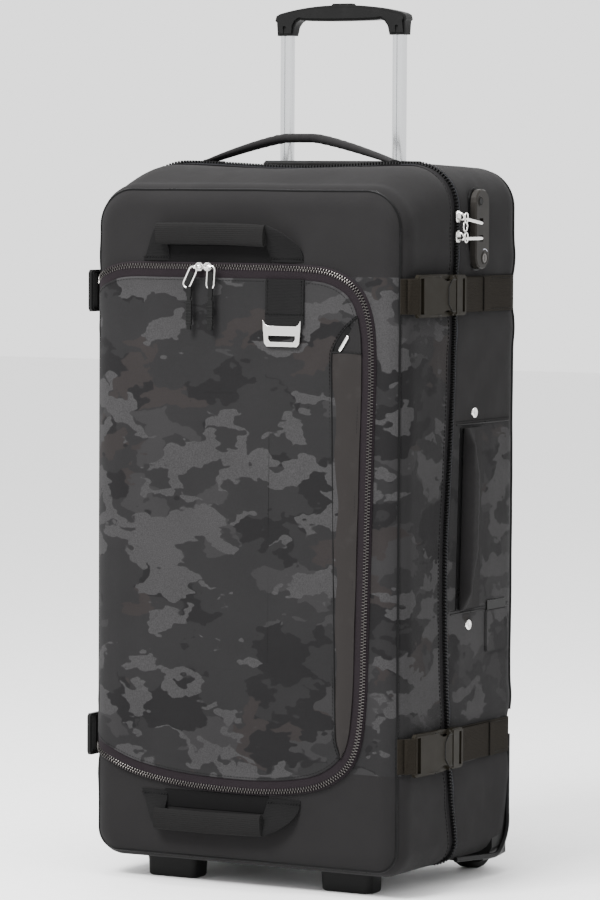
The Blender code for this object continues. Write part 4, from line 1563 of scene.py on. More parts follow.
def clip_socket(level, side, sign):
    """Socket of a side-release clip with its bar, release windows and inlaid panel."""
    node = f"clip_socket_{level}_{side}"
    low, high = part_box(node)
    z = (low.z + high.z) / 2
    reach = (high.z - low.z) / 2
    inner, outer = min(abs(low.x), abs(high.x)), max(abs(low.x), abs(high.x))
    finish = "olive_plastic" if side == "right" else "plastic"
    front, mouth = low.y, high.y
    outline = [(front, z - reach + 0.003), (front + 0.003, z - reach)]
    outline += [
        (mouth - 0.016, z - reach), (mouth - 0.004, z - reach + 0.0012), (mouth, z - reach + 0.0030)
    ]
    outline += [
        (mouth, z + reach - 0.0030), (mouth - 0.004, z + reach - 0.0012), (mouth - 0.016, z + reach)
    ]
    outline += [(front + 0.003, z + reach), (front, z + reach - 0.003)]
    mesh = plate_mesh(node, outline, x_span(sign, inner, outer), "X", 0.0022, 3)
    thinned = front + 0.0160
    for vert in mesh.vertices:
        share = float(soft_step(thinned - vert.co.y, 0.0, 0.0160))
        vert.co.x = sign * inner + (vert.co.x - sign * inner) * (1 - 0.45 * share)
    made = settle(f"socket_{level}_{side}", mesh, finish, "lid")
    all_through = x_span(sign, 0.15, 0.25)
    bar = (front + 0.0028, front + 0.0104)
    join_cut(made, block_mesh("bar", all_through, bar, (z - 0.0192, z + 0.0192)))
    hollow = x_span(sign, inner + 0.0026, outer - 0.0026)
    room = (mouth - 0.040, mouth + 0.01)
    join_cut(made, block_mesh("hollow", hollow, room, (z - 0.0175, z + 0.0175)))
    for edge in (-1, 1):
        window = [
            (mouth - 0.0175 + a * 0.0130 / 0.0080, z + edge * (reach + 0.0006) + b)
            for a, b in arc((0.0, 0.0), 0.0080, 0, 345, 23)
        ]
        depth = x_span(sign, outer - 0.0050, outer + 0.01)
        join_cut(made, plate_mesh("window", window, depth, "X", 0.0))
    face = sign * (outer - 0.0001)
    panel = [
        (mouth - 0.0010, z - 0.0170),
        (mouth - 0.0100, z - 0.0170),
        (mouth - 0.0180, z - 0.0085),
        (mouth - 0.0180, z + 0.0085),
        (mouth - 0.0100, z + 0.0170),
        (mouth - 0.0010, z + 0.0170),
    ]
    line = [(face, y, a) for y, a in panel]
    points = resampled(line, 0.0012)
    name = f"socket_panel_{level}_{side}"
    cord_piece(name, points, (sign, 0.0, 0.0), 0.00042, "piping", "lid", sides=6)
    for edge in (-1, 1):
        ridge = [
            (face, mouth - 0.0360, z + edge * 0.0200), (face, mouth - 0.0415, z + edge * 0.0215)
        ]
        points = resampled(ridge, 0.0012)
        name = f"socket_nick_{level}_{side}_{edge + 1}"
        cord_piece(name, points, (sign, 0.0, 0.0), 0.0004, "piping", "lid", sides=6)
    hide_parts(node)
    return made


def clip_tongue(level, side, sign):
    """Tongue with its strap bar, two springing prongs and a middle guide."""
    node = f"clip_tongue_{level}_{side}"
    low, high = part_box(node)
    z = (low.z + high.z) / 2
    reach = (high.z - low.z) / 2
    inner, outer = min(abs(low.x), abs(high.x)), max(abs(low.x), abs(high.x))
    body = f"clip_tongue_{level}_{side}"
    finish = "olive_plastic" if side == "right" else "plastic"
    mouth = low.y + 0.0240
    block = rounded_rectangle(mouth, high.y, z - reach, z + reach, 0.0032, 4)
    mesh = plate_mesh(node, block, x_span(sign, inner, outer), "X", 0.0016, 3)
    made = settle(f"tongue_{level}_{side}", mesh, finish, body)
    all_through = x_span(sign, 0.15, 0.25)
    slot = (high.y - 0.0102, high.y - 0.0048)
    join_cut(made, block_mesh("slot", all_through, slot, (z - 0.0180, z + 0.0180)))
    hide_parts(node)
    middle = (inner + outer) / 2
    for edge in (-1, 1):
        prong = [
            (mouth + 0.002, z + edge * 0.0110),
            (mouth - 0.013, z + edge * 0.0118),
            (mouth - 0.0235, z + edge * 0.0140),
            (mouth - 0.0235, z + edge * 0.0165),
            (mouth - 0.0170, z + edge * 0.0172),
            (mouth - 0.0150, z + edge * 0.0150),
            (mouth + 0.002, z + edge * 0.0150),
        ]
        thick = x_span(sign, middle - 0.0018, middle + 0.0018)
        mesh = plate_mesh("prong", prong, thick, "X", 0.0005, 2)
        settle(f"prong_{level}_{side}_{edge + 1}", mesh, finish, body)
    guide = rounded_rectangle(mouth - 0.020, mouth + 0.002, z - 0.0028, z + 0.0028, 0.0012, 3)
    thick = x_span(sign, middle - 0.0016, middle + 0.0016)
    mesh = plate_mesh("guide", guide, thick, "X", 0.0004, 2)
    settle(f"guide_{level}_{side}", mesh, finish, body)
    return made


for level, height in zip(("upper", "lower"), STRAP_HEIGHTS):
    for side, sign in (("right", 1), ("left", -1)):
        socket_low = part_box(f"clip_socket_{level}_{side}")[0]
        front_web(level, side, sign, height, socket_low.y + 0.003)
        rear_web(level, side, sign, height)
        clip_socket(level, side, sign)
        clip_tongue(level, side, sign)
    free_end(level, height)


# ---- lock -----------------------------------------------------------------------------
def dressed(node, finish, width=0.0, segments=2):
    """A CAD piece shown as it is, with its finish and rolled edges."""
    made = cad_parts[node]
    made.data.materials.clear()
    made.data.materials.append(MATERIALS[finish])
    if width:
        soft_edges(made, width, segments)
    return made


LOCK_LOW, LOCK_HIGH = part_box("lock_body")
KEY_LOW, KEY_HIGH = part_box("lock_cylinder")
KEY_CENTRE = (KEY_LOW + KEY_HIGH) / 2
BUTTON_LOW, BUTTON_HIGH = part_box("lock_button")
BUTTON_CENTRE = (BUTTON_LOW + BUTTON_HIGH) / 2
dressed("lock_body", "lock_plastic", 0.0016)
dressed("lock_cylinder", "dark_metal", 0.0003)
dressed("lock_button", "piping", 0.0004)


def flat_ring(name, centre, radius, thickness, x, finish, body, start=0, end=360):
    """A raised ring or arc on a face that looks to +X."""
    closed = end - start >= 360
    steps = 48
    angles = np.radians(np.linspace(start, end, steps, endpoint=not closed))
    points = np.array(
        [(x, centre.y + radius * math.cos(a), centre.z + radius * math.sin(a)) for a in angles]
    )
    ups = (1.0, 0.0, 0.0)
    return cord_piece(name, points, ups, thickness, finish, body, closed, 8)


flat_ring(
    "lock_key_ring", KEY_CENTRE, 0.0066, 0.0007, LOCK_HIGH.x + 0.0001, "lock_plastic", "rear_case"
)
flat_ring(
    "lock_button_ring",
    BUTTON_CENTRE,
    0.0049,
    0.0006,
    LOCK_HIGH.x + 0.0001,
    "lock_plastic",
    "rear_case",
)
flat_ring(
    "lock_turn_mark",
    KEY_CENTRE,
    0.0098,
    0.0006,
    LOCK_HIGH.x - 0.0001,
    "pale_print",
    "rear_case",
    48,
    112,
)
edge_plan = rounded_rectangle(
    LOCK_LOW.y - 0.0022, LOCK_HIGH.y + 0.0022, LOCK_LOW.z - 0.0022, LOCK_HIGH.z + 0.0022, 0.0165, 12
)
plate_piece(
    "lock_bed",
    edge_plan,
    (HALF - 0.0006, HALF + 0.0012),
    "X",
    0.0006,
    "piping",
    "rear_case",
)


# ---- main zip sliders ------------------------------------------------------------------
def eased_bar(name, start, end, radius, flat, up, finish, body):
    """A bar with swelling ends between two points."""
    start = np.asarray(start, dtype=float)
    end = np.asarray(end, dtype=float)
    share = np.linspace(0, 1, 25)
    points = start + (end - start) * share[:, None]
    shape = np.sqrt(np.clip(1 - (2 * np.abs(share - 0.5)) ** 10, 0.02, 1))
    ups = np.asarray(up, dtype=float)
    turns = np.linspace(0, 2 * math.pi, 12, endpoint=False)
    section = [(radius * math.cos(t) * shape, radius * flat * math.sin(t) * shape) for t in turns]
    verts, faces = extrusion(points, ups, section)
    return new_piece(name, verts, faces, finish, body, sharp=70.0)


def loop_wire(name, centre, axes, half_long, half_wide, radius, finish, body):
    """A stadium-shaped wire ring; axes are its long and wide directions."""
    long_way, wide_way = (np.asarray(a, dtype=float) for a in axes)
    straight = max(half_long - half_wide, 0.0)
    points = []
    for start, shift in ((-90, 1), (90, -1)):
        for a in np.radians(np.linspace(start, start + 180, 15)):
            points.append(
                np.asarray(centre)
                + long_way * (shift * straight + half_wide * math.cos(a))
                + wide_way * half_wide * math.sin(a)
            )
    points = resampled(points, 0.0010, True)
    up = unit(np.cross(long_way, wide_way))
    return cord_piece(name, points, up, radius, finish, body, True, 10)


def zip_slider(level):
    """Slider body over the teeth, its bridge, and a pull bar into the lock."""
    node = body = f"zip_slider_{level}"
    low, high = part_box(node)
    centre = (low + high) / 2
    half_y = 0.0052
    plan = [
        (centre.y - half_y, low.z + 0.0035),
        (centre.y - half_y * 0.72, low.z),
        (centre.y + half_y * 0.72, low.z),
        (centre.y + half_y, low.z + 0.0035),
        (centre.y + half_y, high.z - 0.0030),
        (centre.y + half_y * 0.45, high.z),
        (centre.y - half_y * 0.45, high.z),
        (centre.y - half_y, high.z - 0.0030),
    ]
    made = plate_piece(
        f"slider_{level}",
        plan,
        (HALF + 0.0004, HALF + 0.0034),
        "X",
        0.0008,
        "nickel",
        body,
        3,
    )
    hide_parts(node)
    bridge = [
        (HALF + 0.0030, centre.y, low.z + 0.0020),
        (HALF + 0.0086, centre.y, low.z + 0.0026),
        (HALF + 0.0102, centre.y, centre.z - 0.0010),
        (HALF + 0.0074, centre.y, high.z - 0.0030),
        (HALF + 0.0030, centre.y, high.z - 0.0016),
    ]
    points = smoothed(resampled(bridge, 0.0008), 2)
    verts, faces = extrusion(points, (0.0, 1.0, 0.0), oval_section(0.0009, 0.0017))
    new_piece(f"slider_bridge_{level}", verts, faces, "nickel", body)
    pull = f"zip_pull_{level}"
    pull_low, pull_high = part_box(pull)
    pull_centre = (pull_low + pull_high) / 2
    slope = 0.0030 if level == "upper" else 0.0
    start = (pull_centre.x - 0.0004, pull_low.y + 0.0010, pull_centre.z + slope)
    end = (pull_centre.x - 0.0010, pull_high.y - 0.0004, pull_centre.z - slope * 0.7)
    bar = eased_bar(f"pull_bar_{level}", start, end, 0.0019, 0.55, (1.0, 0.0, 0.0), "nickel", pull)
    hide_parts(pull)
    loop_wire(
        f"pull_loop_{level}",
        (pull_centre.x - 0.0004, pull_low.y + 0.0018, pull_centre.z + slope + 0.0012),
        ((0.0, 0.0, 1.0), (0.0, 1.0, 0.0)),
        0.0052,
        0.0034,
        0.0009,
        "nickel",
        pull,
    )


zip_slider("upper")
zip_slider("lower")
ring_height = (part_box("zip_slider_upper")[0].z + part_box("zip_slider_lower")[1].z) / 2
loop_wire(
    "slider_ring",
    (
        HALF + 0.0092,
        (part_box("zip_slider_upper")[0].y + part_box("zip_slider_upper")[1].y) / 2 + 0.0036,
        ring_height,
    ),
    ((0.0, 0.25, 0.97), (0.0, 0.97, -0.25)),
    0.0050,
    0.0044,
    0.0009,
    "nickel",
    "zip_slider_lower",
)


# ---- pocket sliders and pulls ------------------------------------------------------
def pocket_slider(side):
    """Slider with crown, a wire loop and a ribbed moulded pull."""
    node = f"pocket_slider_{side}"
    low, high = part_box(node)
    centre = (low + high) / 2
    z = POCKET_TOP_Z - COIL_SHIFT
    face = FRONT - 0.0058
    plan = [
        (centre.x - 0.0050, z - 0.0022),
        (centre.x - 0.0020, z - 0.0046),
        (centre.x + 0.0020, z - 0.0046),
        (centre.x + 0.0050, z - 0.0022),
        (centre.x + 0.0050, z + 0.0022),
        (centre.x + 0.0020, z + 0.0046),
        (centre.x - 0.0020, z + 0.0046),
        (centre.x - 0.0050, z + 0.0022),
    ]
    made = plate_piece(
        f"pocket_slider_body_{side}",
        plan,
        (face - 0.0024, face),
        "Y",
        0.0007,
        "nickel",
        node,
        3,
    )
    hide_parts(node)
    crown = [
        (centre.x - 0.0040, face - 0.0020, z),
        (centre.x - 0.0034, face - 0.0050, z),
        (centre.x, face - 0.0060, z),
        (centre.x + 0.0034, face - 0.0050, z),
        (centre.x + 0.0040, face - 0.0020, z),
    ]
    points = smoothed(resampled(crown, 0.0008), 2)
    verts, faces = extrusion(points, (0.0, 0.0, 1.0), oval_section(0.0009, 0.0019))
    new_piece(f"pocket_crown_{side}", verts, faces, "nickel", node)
    pull = f"pocket_pull_{side}"
    pull_low, pull_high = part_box(pull)
    x = (pull_low.x + pull_high.x) / 2
    y = (pull_low.y + pull_high.y) / 2
    lean = -0.0042 if side == "left" else 0.0003
    middle = np.array((x - 0.0030 if side == "left" else x + 0.0006, y, z - 0.0112))
    way = unit((0.45, 0.0, 0.89) if side == "left" else (0.07, 0.0, 1.0))
    across = np.array((way[2], 0.0, -way[0]))
    loop_wire(f"pull_ring_{side}", middle, (way, across), 0.0124, 0.0046, 0.0010, "nickel", pull)
    tip = middle + way * 0.0112
    shoulder = [
        (centre.x, face - 0.0052, z + 0.0004),
        ((centre.x + tip[0]) / 2, y - 0.0006, z + 0.0012),
        tip,
    ]
    points = smoothed(resampled(shoulder, 0.0008), 2)
    cord_piece(
        f"pull_shoulder_{side}",
        points,
        (0.0, 1.0, 0.0),
        0.0015,
        "nickel",
        pull,
    )
    inner = rounded_rectangle(-0.0031, 0.0031, -0.0106, 0.0060, 0.0030, 5)
    shifted = [
        (middle[0] + across[0] * a + way[0] * b, middle[2] + across[2] * a + way[2] * b)
        for a, b in inner
    ]
    plate_piece(
        f"pull_web_{side}",
        shifted,
        (y - 0.0006, y + 0.0008),
        "Y",
        0.0004,
        "plastic",
        pull,
    )
    top = z - 0.0215
    parts = []
    for z0, z1, half in (
        (top, 0.6440, 0.0030),
        (0.6442, 0.6400, 0.0022),
        (0.6402, 0.6130, 0.0034),
        (0.6132, 0.6080, 0.0026),
    ):
        parts.append(
            box_part(
                np.array((x + lean, y, (z0 + z1) / 2)),
                ((1.0, 0, 0), (0, 1.0, 0), (0, 0, 1.0)),
                (half * 2, 0.0024, abs(z0 - z1)),
            )
        )
    for k in range(7):
        spot = np.array((x + lean, y, 0.6155 + k * 0.0036))
        parts.append(
            box_part(spot, ((1.0, 0, 0), (0, 1.0, 0), (0, 0, 1.0)), (0.0074, 0.0032, 0.0014))
        )
    verts, faces = merged(parts)
    grip = new_piece(f"pull_grip_{side}", verts, faces, "plastic", pull)
    soft_edges(grip, 0.0005, 2)
    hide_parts(pull)


pocket_slider("left")
pocket_slider("right")


# ---- webbing tab, metal plate, side pocket ------------------------------------------
TAB_LOW, TAB_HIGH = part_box("webbing_tab")


def webbing_tab():
    """Flat webbing from under the zip, turned through the metal plate."""
    x0, x1 = TAB_LOW.x + 0.0025, TAB_HIGH.x
    y = FRONT - 0.0062
    rows = []
    for z, lift in (
        (POCKET_TOP_Z - 0.0080, 0.0),
        (0.655, 0.0006),
        (0.640, 0.0008),
        (0.626, 0.0008),
        (0.618, 0.0014),
        (0.6150, 0.0020),
    ):
        rows.append((0.0, y - lift, z))
    points = smoothed(resampled(rows, 0.003), 2)
    middle = (x0 + x1) / 2
    points[:, 0] = middle
    ups = (0.0, -1.0, 0.0)
    verts, faces = extrusion(points, ups, rounded_section((x1 - x0) / 2, -0.0008, 0.0008, 0.0004))
    made = new_piece("tab_webbing", verts, faces, "black_webbing", "lid")
    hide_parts("webbing_tab")
    line = [(x, y - 0.0018, 0.6265) for x in np.linspace(x0 + 0.001, x1 - 0.001, 9)]
    stitches("tab_stitches", line, (0.0, -1.0, 0.0), "lid", 0.0022, 0.0014, 0.0004, "piping")
    for x in (x0 + 0.003, x1 - 0.003):
        line = [(x, y - 0.0014, z) for z in np.linspace(0.628, 0.662, 7)]
        stitches(
            f"tab_side_stitches_{x > middle}",
            line,
            (0.0, -1.0, 0.0),
            "lid",
            0.0022,
            0.0014,
            0.0003,
            "piping",
        )


webbing_tab()


def plate_with_slot():
    low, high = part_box("metal_plate")
    front, back = low.y, high.y
    x0, x1 = low.x, high.x
    top, bottom = high.z, low.z
    outline = [
        (x0 + 0.0040, bottom),
        (x1 - 0.0040, bottom),
        (x1 - 0.0010, bottom + 0.0035),
        (x1 + 0.0005, top - 0.006),
        (x1 + 0.0008, top + 0.0035),
        (x1 - 0.0022, top - 0.0010),
        (x1 - 0.0050, top - 0.0028),
        (x0 + 0.0050, top - 0.0028),
        (x0 + 0.0022, top - 0.0010),
        (x0 - 0.0008, top + 0.0035),
        (x0 - 0.0005, top - 0.006),
        (x0 + 0.0010, bottom + 0.0035),
    ]
    made = plate_piece(
        "slotted_plate",
        outline,
        (front, back + 0.0004),
        "Y",
        0.0,
        "nickel",
        "metal_plate",
    )
    slot_plan = [
        (x0 + 0.0085, bottom + 0.0050),
        (x1 - 0.0085, bottom + 0.0050),
        (x1 - 0.0060, bottom + 0.0080),
        (x1 - 0.0060, bottom + 0.0118),
        (x0 + 0.0060, bottom + 0.0118),
        (x0 + 0.0060, bottom + 0.0080),
    ]
    join_cut(made, plate_mesh("slot", slot_plan, (front - 0.01, back + 0.01), "Y", 0.0))
    soft_edges(made, 0.0004, 2)
    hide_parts("metal_plate")


plate_with_slot()


def seam_x(z):
    """Right-hand seam of the front panel beside the side pocket."""
    return 0.1105 + 0.0075 * np.clip((0.585 - np.asarray(z)) / 0.43, 0.0, 1.0)


def tape_inner(z):
    """Inner edge of the pocket zip tape on the right at a height."""
    edge = POCKET_ZIP + POCKET_IN * 0.0068
    side = edge[(edge[:, 0] > 0.05) & (edge[:, 1] > 0.12) & (edge[:, 1] < 0.66)]
    order = np.argsort(side[:, 1])
    return np.interp(z, side[order, 1], side[order, 0])


def side_trim():
    """Coated strip between the front seam and the zip, puffed across its width."""
    heights = np.linspace(0.1525, 0.5865, 90)
    left = seam_x(heights) + 0.006 * (1 - soft_step(heights, 0.150, 0.172))
    right = np.maximum(tape_inner(heights), left + 0.0015)
    front = []
    for share in np.linspace(0, 1, 9):
        x = left * (1 - share) + right * share
        lift = 0.0058 + 0.0016 * math.sin(math.pi * share) + 0.0003 * np.sin(heights * 70.0)
        front.append(on_front(x, heights, lift))
    back = [on_front(right, heights, 0.0040), on_front(left, heights, 0.0040)]
    verts, faces = capped(np.stack(front + back, axis=1))
    trim = new_piece("side_trim", verts, faces, "trim", "lid", sharp=50.0)
    seam = np.stack([left, heights], axis=1)
    corner = np.array([(0.1125, 0.592), (0.118, 0.602), (0.127, 0.614), (tape_inner(0.626), 0.626)])
    path2 = np.vstack([seam, corner])
    points = smoothed(resampled(on_front(path2[:, 0], path2[:, 1], 0.0062), 0.003), 3)
    ups = (0.0, -1.0, 0.0)
    cord_piece("side_seam", points, ups, 0.0009, "piping", "lid")
    camo_edge = points + np.array((-0.0026, 0.0002, 0.0))
    stitches("side_seam_stitches", camo_edge, ups, "lid", 0.0026, 0.0014, 0.0003, "piping")
    return trim


side_trim()


def side_opening():
    """The pocket's mouth: a near-black plate of painted shade in the slot, the cloth behind it and
    a slanted puller.
    """
    low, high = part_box("side_pocket_puller")
    face = FRONT - 0.0060
    mouth = [
        (0.1125, 0.5868), (0.1200, 0.5868), (0.1345, 0.6120), (0.1300, 0.6165), (0.1180, 0.6015)
    ]
    # Flat near-black plate at the mouth: painted shade standing in for the dark inside of the
    # opening.
    plate_piece("side_mouth_painted_shade", mouth, (face - 0.0003, face + 0.0010), "Y", 0.0, "piping", "lid")
    inset = [
        (0.1200, 0.5868),
        (tape_inner(0.587), 0.5868),
        (tape_inner(0.606), 0.606),
        (tape_inner(0.625), 0.6245),
        (0.1345, 0.6120),
    ]
    plate_piece(
        "side_inset",
        inset,
        (face - 0.0005, face + 0.0010),
        "Y",
        0.0,
        "dark_cloth",
        "lid",
    )
    ledge = [(0.1120, FRONT - 0.0066, 0.5872), (tape_inner(0.587) + 0.0005, FRONT - 0.0066, 0.5872)]
    points = resampled(ledge, 0.003)
    cord_piece("side_ledge", points, (0.0, -1.0, 0.0), 0.0010, "piping", "lid")
    start = (low.x + 0.0030, (low.y + high.y) / 2 - 0.0006, low.z + 0.0004)
    end = (high.x - 0.0022, (low.y + high.y) / 2 - 0.0006, high.z - 0.0004)
    bar = eased_bar(
        "side_puller_bar", start, end, 0.0019, 0.6, (0.0, -1.0, 0.0), "nickel", "side_pocket_puller"
    )
    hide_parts("side_pocket_puller")


side_opening()


# ---- trolley --------------------------------------------------------------------------
def tube_piece(side):
    """Telescopic tube of flattened section with a groove down its front."""
    node = f"trolley_tube_{side}"
    low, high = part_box(node)
    x, y = (low.x + high.x) / 2, (low.y + high.y) / 2
    half_x, half_y = (high.x - low.x) / 2, (high.y - low.y) / 2
    outline = []
    for side_sign, start in ((1, -90), (-1, 90)):
        for a in np.radians(np.linspace(start, start + 180, 13)):
            outline.append(
                (side_sign * (half_x - half_y) + half_y * math.cos(a), half_y * math.sin(a))
            )
    outline += [
        (-0.0016, -half_y),
        (-0.0011, -half_y + 0.0012),
        (0.0011, -half_y + 0.0012),
        (0.0016, -half_y),
    ]
    rows = [[(x + a, y + b, z) for a, b in outline] for z in np.linspace(low.z, high.z, 6)]
    verts, faces = capped(rows)
    made = new_piece(f"tube_{side}", verts, faces, "aluminium", "trolley", sharp=30.0)
    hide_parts(node)
    return made


tube_piece("right")
tube_piece("left")


def grip_piece():
    """Arched grip with tapering sleeves over the tubes, one lofted body."""
    low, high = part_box("trolley_grip")
    y = (low.y + high.y) / 2
    deep = (high.y - low.y) / 2
    half = (high.x - low.x) / 2 - 0.0024
    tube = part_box("trolley_tube_right")
    tube_x = (tube[0].x + tube[1].x) / 2
    top_mid, top_end = high.z, high.z - 0.0105
    under = low.z + 0.0165
    outline = []
    for x in np.linspace(-half + 0.006, half - 0.006, 31):
        outline.append((x, top_end + (top_mid - top_end) * (1 - (abs(x) / half) ** 2.2)))
    sleeve = [
        (half - 0.0016, top_end - 0.0008),
        (half, top_end - 0.0060),
        (half - 0.0020, low.z + 0.0150),
        (tube_x + 0.0104, low.z),
        (tube_x - 0.0104, low.z),
        (tube_x - 0.0122, low.z + 0.0100),
        (tube_x - 0.0155, low.z + 0.0150),
        (tube_x - 0.0200, under + 0.0012),
    ]
    outline += sleeve
    for x in np.linspace(tube_x - 0.026, -tube_x + 0.026, 21):
        outline.append((x, under + 0.0018 * (abs(x) / tube_x) ** 2 - 0.0006))
    outline += [(-x, z) for x, z in reversed(sleeve)]
    mesh = plate_mesh("grip", outline, (y - deep, y + deep), "Y", 0.0046, 4)
    for vert in mesh.vertices:
        slim = 0.66 + 0.34 * float(soft_step(vert.co.z, low.z, low.z + 0.020))
        vert.co.y = y + (vert.co.y - y) * slim
    made = settle("grip", mesh, "plastic", "trolley", sharp=50.0)
    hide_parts("trolley_grip")
    for sign in (-1, 1):
        notch = rounded_rectangle(
            sign * tube_x - 0.0022, sign * tube_x + 0.0022, low.z - 0.004, low.z + 0.0110, 0.0021, 6
        )
        notch_mesh = plate_mesh("notch", notch, (y - deep, y - deep * 0.70 + 0.0010), "Y", 0.0)
        join_cut(made, notch_mesh, sharp=50.0)
    groove = [
        (
            x,
            y - deep + 0.0044,
            top_end + (top_mid - top_end) * (1 - (abs(x) / half) ** 2.2) - 0.0002,
        )
        for x in np.linspace(-half + 0.010, half - 0.010, 40)
    ]
    cord_piece(
        "grip_parting_line", np.array(groove), (0.0, 0.0, 1.0), 0.0004, "piping", "trolley", sides=6
    )
    return made


grip_piece()
for node, finish, width in (
    ("trolley_button", "plastic", 0.0008),
    ("release_bar", "dark_metal", 0.0),
    ("catch_left", "dark_metal", 0.0),
    ("catch_right", "dark_metal", 0.0),
    ("guide_tube_left", "aluminium", 0.0),
    ("guide_tube_right", "aluminium", 0.0),
    ("handle_bezel", "plastic", 0.0012),
    ("back_panel", "plastic", 0.0012),
    ("trolley_cover", "lining", 0.0010),
    ("axle_left", "nickel", 0.0),
    ("axle_right", "nickel", 0.0),
    ("luggage_tag", "tag_sleeve", 0.0006),
):
    dressed(node, finish, width)


# ---- feet ---------------------------------------------------------------------------
def foot_piece(side):
    """Moulded foot, flared where it meets the bag."""
    node = f"foot_{side}"
    low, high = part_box(node)
    rows = []
    for z, grow in (
        (low.z, -0.0030),
        (low.z + 0.0010, -0.0014),
        (low.z + 0.0030, -0.0006),
        (high.z - 0.0050, 0.0),
        (high.z - 0.0010, 0.0006),
        (high.z + 0.0006, 0.0010),
    ):
        plan = rounded_rectangle(
            low.x - grow, high.x + grow, low.y - grow, high.y + grow, 0.0075, 5
        )
        rows.append([(x, y, z) for x, y in plan])
    verts, faces = capped(rows)
    made = new_piece(
        f"foot_block_{side}", verts, faces, "plastic", "lid", sharp=50.0
    )
    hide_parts(node)


foot_piece("left")
foot_piece("right")


# ---- handles -------------------------------------------------------------------------
def padded_tube(
    name, points, ups, half_wide, half_thick, finish, body, wrinkle=0.0, sides=20
):
    """A padded sleeve: a soft flattened tube with gathered folds across it."""
    turns = np.linspace(0, 2 * math.pi, sides, endpoint=False)
    points = np.asarray(points, dtype=float)
    along = tangents(points)
    up = unit(ups - along * np.sum(ups * along, axis=1, keepdims=True))
    side = np.cross(along, up)
    runs = np.concatenate([[0.0], np.cumsum(np.linalg.norm(np.diff(points, axis=0), axis=1))])
    wide = np.broadcast_to(half_wide, len(points))
    thick = np.broadcast_to(half_thick, len(points))
    folds = np.broadcast_to(wrinkle, len(points))
    rows = []
    for i, p in enumerate(points):
        fold = folds[i] * (math.sin(runs[i] * 620) + 0.6 * math.sin(runs[i] * 1013 + 1.0))
        row = []
        for t in turns:
            c, s = math.cos(t), math.sin(t)
            a = wide[i] * math.copysign(abs(c) ** 0.75, c)
            b = thick[i] * math.copysign(abs(s) ** 0.85, s)
            grow = 1 + fold * (0.5 + 0.5 * math.sin(t * 2 + runs[i] * 60))
            row.append(p + side[i] * a * (1 + fold * 0.3) + up[i] * b * grow)
        rows.append(row)
    verts, faces = capped(rows)
    return new_piece(name, verts, faces, finish, body, sharp=70.0)


def top_handle():
    """Arched carry handle: straight slopes, a gathered middle and flat sewn ends."""
    low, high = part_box("top_handle")
    y = (low.y + high.y) / 2
    middle = (low.x + high.x) / 2
    half = (high.x - low.x) / 2
    base = TOP + 0.0016
    peak = high.z - 0.0050
    xs = np.linspace(-half - 0.003, half + 0.003, 131)
    inward_share = 1 - np.clip(np.abs(xs) / half, 0, 1)
    rise = 1 - np.clip(1 - inward_share / 0.85, 0, 1) ** 1.25
    points = np.stack([middle + xs, np.full(len(xs), y), base + (peak - base) * rise], axis=1)
    points = smoothed(points, 6)
    ups = (0.0, 0.0, 1.0)
    thick = 0.0016 + 0.0034 * np.sqrt(rise)
    pleat = 0.03 + 0.05 * np.exp(-((xs / 0.030) ** 2))
    made = padded_tube(
        "carry_handle",
        points,
        ups,
        0.0115,
        thick,
        "dark_cloth",
        "top_handle",
        pleat,
    )
    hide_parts("top_handle")
    for offset in (-0.0098, 0.0098):
        line = points + np.array((0.0, offset, 0.0)) + ups * (thick * 0.45)[:, None]
        stitches(
            f"carry_stitches_{offset > 0}",
            line[6:-6],
            ups,
            "top_handle",
            0.0026,
            0.0014,
            0.0003,
            "black_webbing",
        )
    for sign in (-1, 1):
        flap = [
            (middle + sign * (half + reach), y, TOP + 0.0002) for reach in (-0.012, 0.002, 0.014)
        ]
        section = rounded_section(0.0120, -0.0006, 0.0012, 0.0005)
        verts, faces = extrusion(resampled(flap, 0.003), ups, section)
        side_name = "right" if sign > 0 else "left"
        new_piece(
            f"carry_anchor_{side_name}", verts, faces, "black_webbing", "rear_case"
        )


top_handle()


